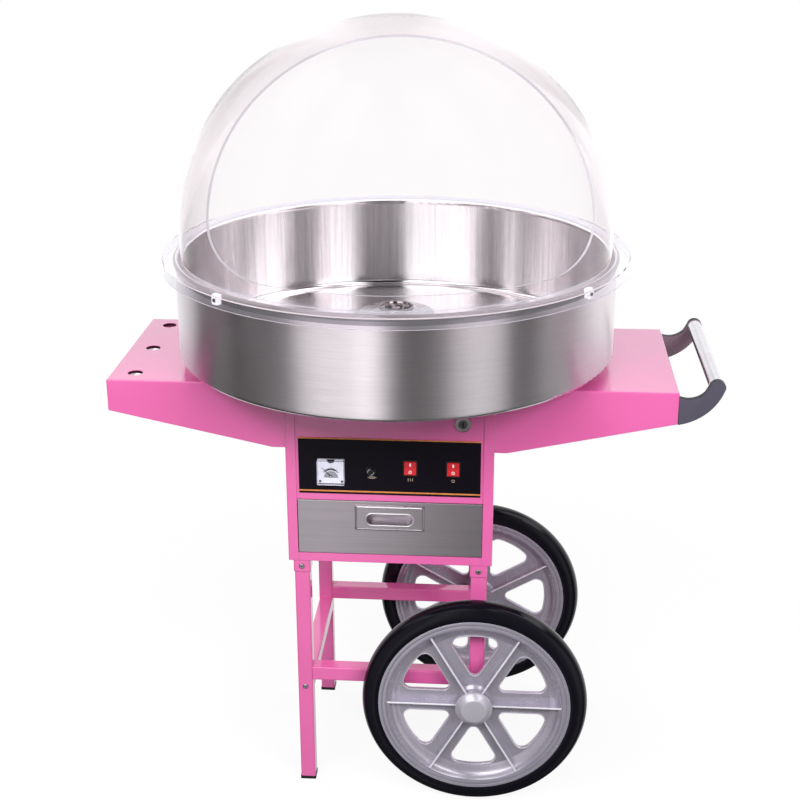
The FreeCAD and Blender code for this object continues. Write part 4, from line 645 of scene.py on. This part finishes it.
def wheel_trim(side, outboard, first):
    """Raised bands, liner, hub flare, dark groove rings, window beads and rib edges on both faces
    of one wheel, and its domed cap. The groove rings are painted shade, and the paler window beads
    and rib edges are painted highlights. Its first window is turned by first, in degrees, from
    upright."""
    centre = (middle(side + "_tyre") - AXIS) / MM
    wheel = side + "_wheel"
    trim = Shape()
    edges = Shape()
    beads = Shape()
    groove_shades = Shape()
    for sign, web in ((outboard, WEB_FACE[0]), (-outboard, WEB_FACE[1])):
        liner = [(RIM_WALL_R + 0.4, web - 0.6), (RIM_WALL_R + 0.4, 17.6), (145.2, 17.5),
                 (143.6, 15.6), (142.0, 12.2), (139.6, 8.8), (136.2, 6.1), (131.5, 4.3),
                 (126.5, web + 0.45), (125.2, web - 0.6)]
        flare = [(HUB_R - 0.6, web - 0.6), (HUB_R - 0.6, 7.0), (HUB_R + 0.4, 6.4),
                 (HUB_R + 1.6, 5.0), (HUB_R + 4.0, web + 0.6), (HUB_R + 5.0, web - 0.6)]
        for profile in (liner, OUTER_BAND, INNER_BAND, flare):
            trim.spin_y(centre, [(r, y * sign) for r, y in profile])
        for r in GROOVE_SHADE_RADII:
            groove_shades.spin_y(centre, [(r + d, y * sign) for d, y in GROOVE_SHADE_PROFILE])
        for i in range(6):
            path = window_path(WINDOW_GROWN, first + 60 * i)
            beads.tube([(centre.x + x, centre.z + z) for x, z in path],
                       centre.y + sign * (web + 0.1), BEAD_R)
            a = math.radians(first + 30 + 60 * i)
            ends = [(centre.x - r * math.sin(a), centre.z + r * math.cos(a))
                    for r in (HUB_R - 1, RIM_WALL_R)]
            edges.ridge(*ends, centre.y + sign * RIB_FACE, sign, *RIB_HIGHLIGHT)
    trim.piece(wheel + "_trim", wheel, WHEEL)
    edges.piece(wheel + "_edges", wheel, WHEEL_RIB_HIGHLIGHT)
    beads.piece(wheel + "_beads", wheel, WHEEL_BEAD_HIGHLIGHT)
    groove_shades.piece(wheel + "_grooves", wheel, WHEEL_GROOVE_SHADE)
    cap = Shape()
    cap.lathe_y(centre, [(r, y * outboard) for r, y in CAP_PROFILE])
    made = cap.piece(wheel + "_cap", wheel, WHEEL_CAP, sharp=60)
    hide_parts(side + "_hub_cap")


wheel_trim("front", -1, 0)
wheel_trim("rear", 1, 30)


# ---------------------------------------------------------------- control panel
PANEL_Y = -158.0
METER = (-93.0, 588.5)
METER_Y = -161.0
METER_PIVOT_Z = 580.5
METER_SCREWS = (17.5, -16.8)    # from the meter's middle
INK_Y = METER_Y - 0.25
FUSE = (-29.0, 591.0)
FUSE_Y = (-166.0, -165.7)
SWITCH_X = (33.5, 101.5)
SWITCH_Z = 597.5
ROCKER_Y = -158.75              # the rockers' hinge
ROCKER_REST = math.radians(-7)  # turn of a rocker at rest
ROCKER_HALF = (-3.75, 5.9)      # middle of one half of a rocker's face, in Y and Z from the hinge
ROCKER_LEAN = math.atan2(2.6, 11.5)     # slope of that half
SIGN_Z = 576.5
SIGN_Y = (PANEL_Y - 0.12, PANEL_Y)
LOCK = (116.0, 674.0)
KEYWAY_SHADE_Y = (-161.62, -160.6)


# Near black prism in the lock's keyway: painted shade in the slot.
def lock_keyway_shade():
    keyway = Shape()
    keyway.prism(bar(*LOCK, 2.0, 9.0), *KEYWAY_SHADE_Y)
    keyway.piece("lock_keyway_shade", "lock_cylinder", INK_AND_SHADE)


def meter_dial():
    """Scale with eleven strokes, a half disc at the top, two screws, and a grey half disc."""
    x, z = METER
    ink = Shape()
    for inner, outer, start, end in ((10.8, 13.8, 52, 128), (12.2, 13.4, 30, 52),
                                     (12.2, 13.4, 128, 150)):
        ink.prism(band(x, METER_PIVOT_Z, inner, outer, start, end), INK_Y, METER_Y)
    for i in range(11):
        a = 30 + 12 * i
        out = 16.8 if i % 5 == 0 else 15.4
        mid = arc(x, METER_PIVOT_Z, (13.2 + out) / 2, a, a, 1)[0]
        ink.prism(bar(*mid, out - 13.2, 0.45, a), INK_Y, METER_Y)
    ink.prism(arc(x, z + 21.0, 6.5, 180, 360, 16), METER_Y - 0.3, METER_Y)
    for side in (-1, 1):
        screw = arc(x + side * METER_SCREWS[0], z + METER_SCREWS[1], 2.0, 0, 345, 16)
        ink.prism(screw, METER_Y - 0.5, METER_Y)
    ink.piece("meter_scale", "frame", INK_AND_SHADE)
    cover = Shape()
    cover.prism(arc(x, METER_PIVOT_Z - 2.5, 11.5, 0, 180, 24), METER_Y - 0.2, METER_Y)
    cover.piece("meter_half_disc", "frame", GREY_MARK)


def fuse_shine():
    """Two bright arcs on the rim of the fuse cap."""
    ring = Shape()
    for start in (-95, 95):
        ring.prism(band(*FUSE, 4.3, 5.3, start, start + 100), *FUSE_Y, 0.1)
    ring.piece("fuse_cap_ring", "fuse_carrier", CHROME)


def signs():
    """Plain drawn signs under the fuse and the switches: fuse, warmth, power."""
    fuse = Shape()
    x, z = FUSE[0] + 1.5, SIGN_Z + 2.5
    for dx, dz, w, h in ((0, 1.6, 9, 0.7), (0, -1.6, 9, 0.7), (-4.2, 0, 0.7, 3.4),
                         (4.2, 0, 0.7, 3.4), (0, 0, 15, 0.6)):
        fuse.prism(bar(x + dx, z + dz, w, h), *SIGN_Y)
    fuse.piece("sign_fuse", "frame", SIGN_INK)
    heat = Shape()
    for i in (-1, 0, 1):
        x = SWITCH_X[0] + 3.4 * i
        heat.prism(band(x + 1.3, SIGN_Z + 1.0, 1.2, 1.9, 110, 250, 8), *SIGN_Y)
        heat.prism(band(x - 1.3, SIGN_Z - 1.0, 1.2, 1.9, -70, 70, 8), *SIGN_Y)
    heat.piece("sign_heat", "frame", SIGN_INK)
    power = Shape()
    power.prism(band(SWITCH_X[1], SIGN_Z, 1.9, 2.6, 120, 420, 24), *SIGN_Y)
    power.prism(bar(SWITCH_X[1], SIGN_Z + 1.7, 0.7, 2.8), *SIGN_Y)
    power.piece("sign_power", "frame", SIGN_INK)


def rocker_marks(x, name, body):
    """Bar and ring printed on the two halves of a rocker's face; the bar on the upper half is made
    large, a painted highlight as well as a print.
    """
    ahead, up = ROCKER_HALF
    for part, sign in (("bar", 1), ("ring", -1)):
        mark = Shape()
        outline = bar(0, 0, 2.6, 5.6) if sign > 0 else band(0, 0, 1.5, 2.5, 0, 359, 24)
        mark.prism(outline, -0.16, 0.2)
        place = Matrix.Translation(at(x, ROCKER_Y, SWITCH_Z)) @ Matrix.Rotation(ROCKER_REST, 4, "X")
        place = place @ Matrix.Translation(Vector((0, ahead, up * sign)) * MM)
        place = place @ Matrix.Rotation(ROCKER_LEAN * sign, 4, "X") @ Matrix.Translation(-AXIS)
        mark.piece("%s_rocker_%s" % (name, part), body, WHITE_MARK_AND_GLARE, place)


lock_keyway_shade()
meter_dial()
fuse_shine()
signs()
rocker_marks(SWITCH_X[0], "heat", "heat_switch")
rocker_marks(SWITCH_X[1], "power", "power_switch")


# ---------------------------------------------------------------- push handle
BRACKET_ROUND = 1.6
GRIP_AXIS = (503.7, 743.3)
GRIP_R = 11.4
GRIP_HALF = 135.5


def eased(name, body, face):
    """The node's own shape with its sharp edges rounded, its faces slate, and its edges near black,
    a painted shade.
    """
    bm = bmesh.new()
    bm.from_mesh(NODES[name].data)
    bmesh.ops.remove_doubles(bm, verts=bm.verts, dist=1e-6)
    bmesh.ops.dissolve_limit(bm, angle_limit=math.radians(0.5), verts=bm.verts, edges=bm.edges)
    sharp = [e for e in bm.edges
             if len(e.link_faces) == 2 and e.calc_face_angle(0.0) > math.radians(50)]
    bmesh.ops.bevel(bm, geom=sharp, offset=BRACKET_ROUND * MM, segments=3, profile=0.5,
                    affect="EDGES", clamp_overlap=True)
    for side in bm.faces:
        # faces that don't look along Y take the painted shade
        side.material_index = 0 if abs(side.normal.y) > 0.95 else 1
    mesh = bpy.data.meshes.new(name + "_eased")
    bm.to_mesh(mesh)
    bm.free()
    made = link(name + "_eased", mesh, (face, SHADE_BLACK))
    mesh.set_sharp_from_angle(angle=math.radians(35))
    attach(made, body)
    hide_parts(name)


def grip_shade_strip():
    """Dark strip along the side of the grip that faces the shelf: painted shade."""
    profile = band(*GRIP_AXIS, GRIP_R - 0.6, GRIP_R + 0.3, 163, 216, 12)
    insert = Shape()
    insert.loops([[(x, y, z) for x, z in profile] for y in (-GRIP_HALF, GRIP_HALF)])
    insert.piece("grip_shade_strip", "frame", SHADE_BLACK)


eased("front_handle_bracket", "frame", BRACKET)
eased("rear_handle_bracket", "frame", BRACKET_REAR_LIT)
grip_shade_strip()


# ---------------------------------------------------------------- shelves, drawer, head
SHELF_TOP = 734.0
HOLE_X = -408.5
HOLE_YS = (-122.5, 0.0, 122.5)
HOLE_R = 12.0
PULL_Y = -160.0
PULL_Z = 508.75
POCKET_Z = 505.75
LIP_HALF = 52.5
DISH_PROFILE = [(27.4, 815.9), (26.6, 815.9), (25.6, 813.2), (12.0, 809.6), (8.0, 809.4),
                (7.0, 809.8), (6.0, 813.6), (3.5, 814.6), (0.6, 814.8), (0.6, 808.8),
                (27.4, 808.8)]
# dark discs on the dish: painted shade where its ports are
PORT_SHADE_PROFILE = [(6.0, 810.0), (6.0, 812.9), (5.0, 813.3)]
PORT_RING_R = 18.5


# Dark sleeves under the cone holes: painted shade inside them.
def cone_hole_shade_sleeves():
    profile = [(HOLE_R + 0.1, SHELF_TOP - 0.4), (HOLE_R + 0.1, SHELF_TOP - 4.6),
               (HOLE_R - 0.8, SHELF_TOP - 4.6), (HOLE_R - 0.8, SHELF_TOP - 0.8)]
    for i, y in enumerate(HOLE_YS):
        sleeve = Shape()
        sleeve.lathe_z(HOLE_X, y, profile, closed=True)
        sleeve.piece("cone_hole_shade_%d" % i, "frame", HOLE_SHADE)


def drawer_pull():
    """Bead round the pull's plate, bead round its pocket, and the bright lip along its top;
    the pocket's bead and the lip are near white steel, a painted highlight.
    """
    edge = Shape()
    edge.tube(rounded(108.0, 40.0, 3.0, 0, PULL_Z), PULL_Y + 0.3, 1.9)
    edge.piece("drawer_pull_edge", "drawer", PULL_EDGE)
    pull = Shape()
    pull.tube(rounded(77.0, 21.0, 10.4, 0, POCKET_Z), PULL_Y + 0.2, 1.6)
    lip = [(PULL_Y + 0.6, PULL_Z + 21.6), (PULL_Y - 0.3, PULL_Z + 21.6),
           (PULL_Y - 1.9, PULL_Z + 19.0), (PULL_Y - 1.7, PULL_Z + 18.4),
           (PULL_Y + 0.6, PULL_Z + 18.2)]
    pull.loops([[(x, y, z) for y, z in lip] for x in (-LIP_HALF, LIP_HALF)])
    pull.piece("drawer_pull_beads", "drawer", PULL_STEEL_HIGHLIGHT)


def spinner_lid():
    """Dish with a raised middle, and six dark discs round it, painted shade for its ports."""
    dish = Shape()
    dish.lathe_z(0, 0, DISH_PROFILE, closed=True)
    dish.piece("head_dish", "head", DARK_CHROME, sharp=40)
    port_shades = Shape()
    for i in range(6):
        a = math.radians(20 + 60 * i)
        port_shades.lathe_z(PORT_RING_R * math.cos(a), PORT_RING_R * math.sin(a), PORT_SHADE_PROFILE, 24)
    port_shades.piece("head_port_shades", "head", DARK_STEEL_AND_SHADE)


cone_hole_shade_sleeves()
drawer_pull()
spinner_lid()


# ---------------------------------------------------------------- screws
# dark crosses on the screw heads: painted shade of their cross recesses
RECESS = (4.2, 0.9)         # length and width of one bar of the cross
RECESS_FOOT = 0.9           # how far the mark reaches into the head
RECESS_RISE = 0.04          # how far it stands over the head


def islands(bm):
    """Connected groups of vertices, as lists of points in millimetres."""
    left = set(bm.verts)
    for first in bm.verts:
        if first not in left:
            continue
        left.remove(first)
        stack = [first]
        island = []
        while stack:
            vert = stack.pop()
            island.append((vert.co - AXIS) / MM)
            for edge in vert.link_edges:
                other = edge.other_vert(vert)
                if other in left:
                    left.remove(other)
                    stack.append(other)
        yield island


def screw_recess_shades():
    """Dark cross standing on the head of every screw of the frame: painted shade of its cross
    recess.
    """
    bm = bmesh.new()
    bm.from_mesh(NODES["frame_screws"].data)
    bmesh.ops.remove_doubles(bm, verts=bm.verts, dist=1e-6)
    marks = Shape()
    for island in islands(bm):
        low = Vector(min(v[i] for v in island) for i in range(3))
        high = Vector(max(v[i] for v in island) for i in range(3))
        size = high - low
        axis = max(range(3), key=lambda i: size[i])
        cross = [i for i in range(3) if i != axis]
        mid = (low + high) / 2

        def girth(end):
            near = [v for v in island if abs(v[axis] - end) < size[axis] * 0.3]
            return max(abs(v[cross[0]] - mid[cross[0]]) for v in near)

        sign = 1 if girth(high[axis]) > girth(low[axis]) else -1
        top = high[axis] if sign > 0 else low[axis]
        for w, h in (RECESS, RECESS[::-1]):
            rows = []
            for level in (top - sign * RECESS_FOOT, top + sign * RECESS_RISE):
                row = []
                for u, v in ((-w, -h), (w, -h), (w, h), (-w, h)):
                    point = [0.0, 0.0, 0.0]
                    point[axis] = level
                    point[cross[0]] = mid[cross[0]] + u / 2
                    point[cross[1]] = mid[cross[1]] + v / 2
                    row.append(tuple(point))
                rows.append(row)
            marks.loops(rows)
    bm.free()
    marks.piece("screw_recess_shades", "frame", DARK_STEEL_AND_SHADE)


screw_recess_shades()


# ---------------------------------------------------------------- studio
FLOOR_HALF = 30
FLOOR_NEAR, FLOOR_FAR = (0.5, 0.88), (1.3, 1.0)     # distance, share of plain white seen there


def floor():
    """White to the camera, with the object's shadow, and plainly grey as a source of light."""
    corners = [(x * FLOOR_HALF, y * FLOOR_HALF, 0) for x, y in ((-1, -1), (1, -1), (1, 1), (-1, 1))]
    made = mesh_object("studio_floor", corners, [(0, 1, 2, 3)])
    mat, tree, shader, out = material("studio_floor")
    path = node(tree, "LightPath").outputs
    seen = path["Is Camera Ray"]
    shade = mix_value(tree, seen, spread(tree, noise(tree, 2.0), 0.26, 0.29), 0.97)
    feed(tree, shader, Base_Color=shade, Roughness=0.9, Specular_IOR_Level=0.1)
    glow = node(tree, "Emission", {0: (1, 1, 1, 1), 1: 1.0}).outputs[0]
    far = vector_maths(tree, "LENGTH", {0: position(tree)})["Value"]
    white = map_range(tree, far, FLOOR_NEAR[0], FLOOR_FAR[0], FLOOR_NEAR[1], FLOOR_FAR[1])
    share = maths(tree, "MULTIPLY", seen, white)
    share = maths(tree, "MAXIMUM", share, path["Is Transmission Ray"])
    tree.links.new(mix_shader(tree, share, shader.outputs[0], glow), out.inputs[0])
    made.data.materials.append(mat)
    made.visible_glossy = False


# Brightness of the ring of soft boxes and flags round the machine, by compass direction from the
# front, in degrees towards +X. Upright steel sees the lower bands, and the pan's inside and the
# shelf tops see the upper ones.
LOWER_BANDS = [
    (-180, 1.4), (-150, 1.5), (-130, 1.4), (-113, 0.90), (-103, 0.03), (-84, 0.0), (-66, 0.0),
    (-58, 0.24), (-48, 0.36), (-38, 0.40), (-31, 0.50), (-16, 0.54), (-12, 1.1), (-6, 0.85),
    (-1, 0.40), (4, 0.26), (10, 0.22), (28, 0.34), (35, 0.52), (41, 0.92), (53, 0.92),
    (60, 0.20), (70, 0.12), (82, 0.12), (96, 0.26), (108, 1.0), (120, 1.6), (150, 1.5),
    (180, 1.4)]
UPPER_BANDS = [
    (-180, 0.70), (-167, 0.80), (-158, 1.30), (-149, 1.30), (-143, 0.25), (-108, 0.15),
    (-105, 2.2), (-87, 2.2), (-83, 0.1), (-76, 0.1), (-74, 2.2), (-69, 2.2), (-66, 0.0),
    (-49, 0.0), (-45, 1.9), (-4, 1.9), (0, 0.0), (29, 0.0), (32, 2.7), (55, 2.6), (58, 0.0),
    (78, 0.0), (81, 2.8), (115, 2.4), (118, 0.05), (121, 1.8), (128, 1.8), (131, 0.05),
    (140, 0.2), (152, 1.25), (168, 1.25), (180, 0.70)]
BAND_SCALE = 4.0            # a ramp holds no value above 1
RING_SIDES = 96
RING_R = 1.9
RING_LOW = -2.6
RING_HIGH = 6.4
RING_SWITCH = (1.3, 1.6)    # heights between which the upper bands take over
RING_GAIN = 0.80
RING_RISE = [(0.0, 0.45), (0.17, 0.55), (0.27, 1.0), (1.0, 1.0)]    # share of the height, gain


def band_ramp(tree, share, bands):
    return ramp(tree, share, [((a + 180) / 360, v / BAND_SCALE) for a, v in bands])


def studio_wall():
    """Ring of soft boxes and flags round the machine, seen only in reflections."""
    verts = [(AXIS.x + RING_R * math.sin(a), -RING_R * math.cos(a), z)
             for z in (RING_LOW, RING_HIGH) for a in round_steps(RING_SIDES)]
    after = [(i + 1) % RING_SIDES for i in range(RING_SIDES)]
    faces = [(i, j, RING_SIDES + j, RING_SIDES + i) for i, j in enumerate(after)]
    made = mesh_object("studio_wall", verts, faces)
    mat, tree, _, out = material("studio_wall")
    x, y, z = split(tree, position(tree))
    x = maths(tree, "SUBTRACT", x, AXIS.x)
    turn = maths(tree, "ARCTAN2", x, maths(tree, "MULTIPLY", y, -1.0))
    share = maths(tree, "MULTIPLY_ADD", turn, 0.5 / math.pi, 0.5)
    rise = ramp(tree, map_range(tree, z, RING_LOW, RING_HIGH, 0.0, 1.0), RING_RISE)
    gain = maths(tree, "MULTIPLY", rise, RING_GAIN)
    lower = vector_maths(tree, "SCALE", {0: band_ramp(tree, share, LOWER_BANDS), "Scale": gain})[0]
    upper = band_ramp(tree, share, UPPER_BANDS)
    both = mix_colour(tree, map_range(tree, z, *RING_SWITCH, 0.0, 1.0), lower, upper)
    glow = node(tree, "Emission", {0: both, 1: BAND_SCALE}).outputs[0]
    tree.links.new(glow, out.inputs[0])
    made.data.materials.append(mat)
    for flag in ("camera", "diffuse", "transmission", "shadow", "volume_scatter"):
        setattr(made, "visible_" + flag, False)


def world():
    """Soft sky for the object's surfaces, plain white behind it and through its clear parts."""
    made = bpy.data.worlds.new("studio")
    bpy.context.scene.world = made
    made.use_nodes = True
    tree = made.node_tree
    tree.nodes.clear()
    out = tree.nodes.new("ShaderNodeOutputWorld")
    path = node(tree, "LightPath").outputs
    seen = maths(tree, "MAXIMUM", path["Is Camera Ray"], path["Is Transmission Ray"])
    up = split(tree, node(tree, "TexCoord").outputs["Generated"])[2]
    height = maths(tree, "MULTIPLY_ADD", up, 0.5, 0.5)
    glow = ramp(tree, height, [(0.0, 0.10), (0.42, 0.12), (0.5, 0.25), (1.0, 0.30)])
    soft = node(tree, "Background", {0: glow, 1: 1.0}).outputs[0]
    white = node(tree, "Background", {0: (1, 1, 1, 1), 1: 1.0}).outputs[0]
    tree.links.new(mix_shader(tree, seen, soft, white), out.inputs[0])


def lamp(name, place, target, size, power, glossy=False):
    data = bpy.data.lights.new(name, "AREA")
    data.shape = "RECTANGLE"
    data.size, data.size_y = size
    data.energy = power
    made = bpy.data.objects.new(name, data)
    bpy.context.collection.objects.link(made)
    made.location = place
    aim = Vector(target) - Vector(place)
    made.rotation_euler = aim.to_track_quat("-Z", "Y").to_euler()
    made.visible_camera = False
    made.visible_glossy = glossy
    made.visible_transmission = False


IMAGE_WIDTH = 800           # pixels
FOCAL_LENGTH = 1426.7       # pixels
SENSOR_WIDTH = 36.0
CAMERA_PLACE = Vector((0.1727, -2.2242, 1.5092))    # from the pan's axis on the floor
CAMERA_TURN = (21.04, 4.30, -0.14)                  # pitch down, yaw to the left, roll


def camera():
    """The camera that was fitted to the photo."""
    data = bpy.data.cameras.new("camera")
    data.sensor_width = SENSOR_WIDTH
    data.lens = FOCAL_LENGTH / IMAGE_WIDTH * SENSOR_WIDTH
    data.clip_end = 100.0
    made = bpy.data.objects.new("camera", data)
    bpy.context.collection.objects.link(made)
    pitch, yaw, roll = (math.radians(a) for a in CAMERA_TURN)
    look = Vector((-math.sin(yaw) * math.cos(pitch), math.cos(yaw) * math.cos(pitch),
                   -math.sin(pitch)))
    side = look.cross(Vector((0, 0, 1))).normalized()
    up = side.cross(look)
    right = side * math.cos(roll) + up * math.sin(roll)
    top = up * math.cos(roll) - side * math.sin(roll)
    turn = Matrix((right, top, -look)).transposed()
    made.matrix_world = Matrix.Translation(AXIS + CAMERA_PLACE) @ turn.to_4x4()
    bpy.context.scene.camera = made


floor()
studio_wall()
world()
camera()
lamp("key", (-1.20, -2.71, 2.8), (0, -0.15, 0.6), (2.6, 0.9), 83, glossy=True)
lamp("rear_left", (-2.3, 2.3, 1.0), (0, 0, 0.6), (1.8, 1.2), 42)
lamp("rear_right", (2.5, 2.1, 1.0), (0, 0, 0.6), (1.8, 1.2), 42)
lamp("side_left", (-3.0, -0.4, 0.9), (0, 0, 0.6), (1.2, 1.2), 16)
lamp("fill", (1.72, -2.56, 2.5), (0, -0.15, 0.6), (2.0, 0.9), 80)
bpy.context.scene.view_settings.view_transform = "Standard"
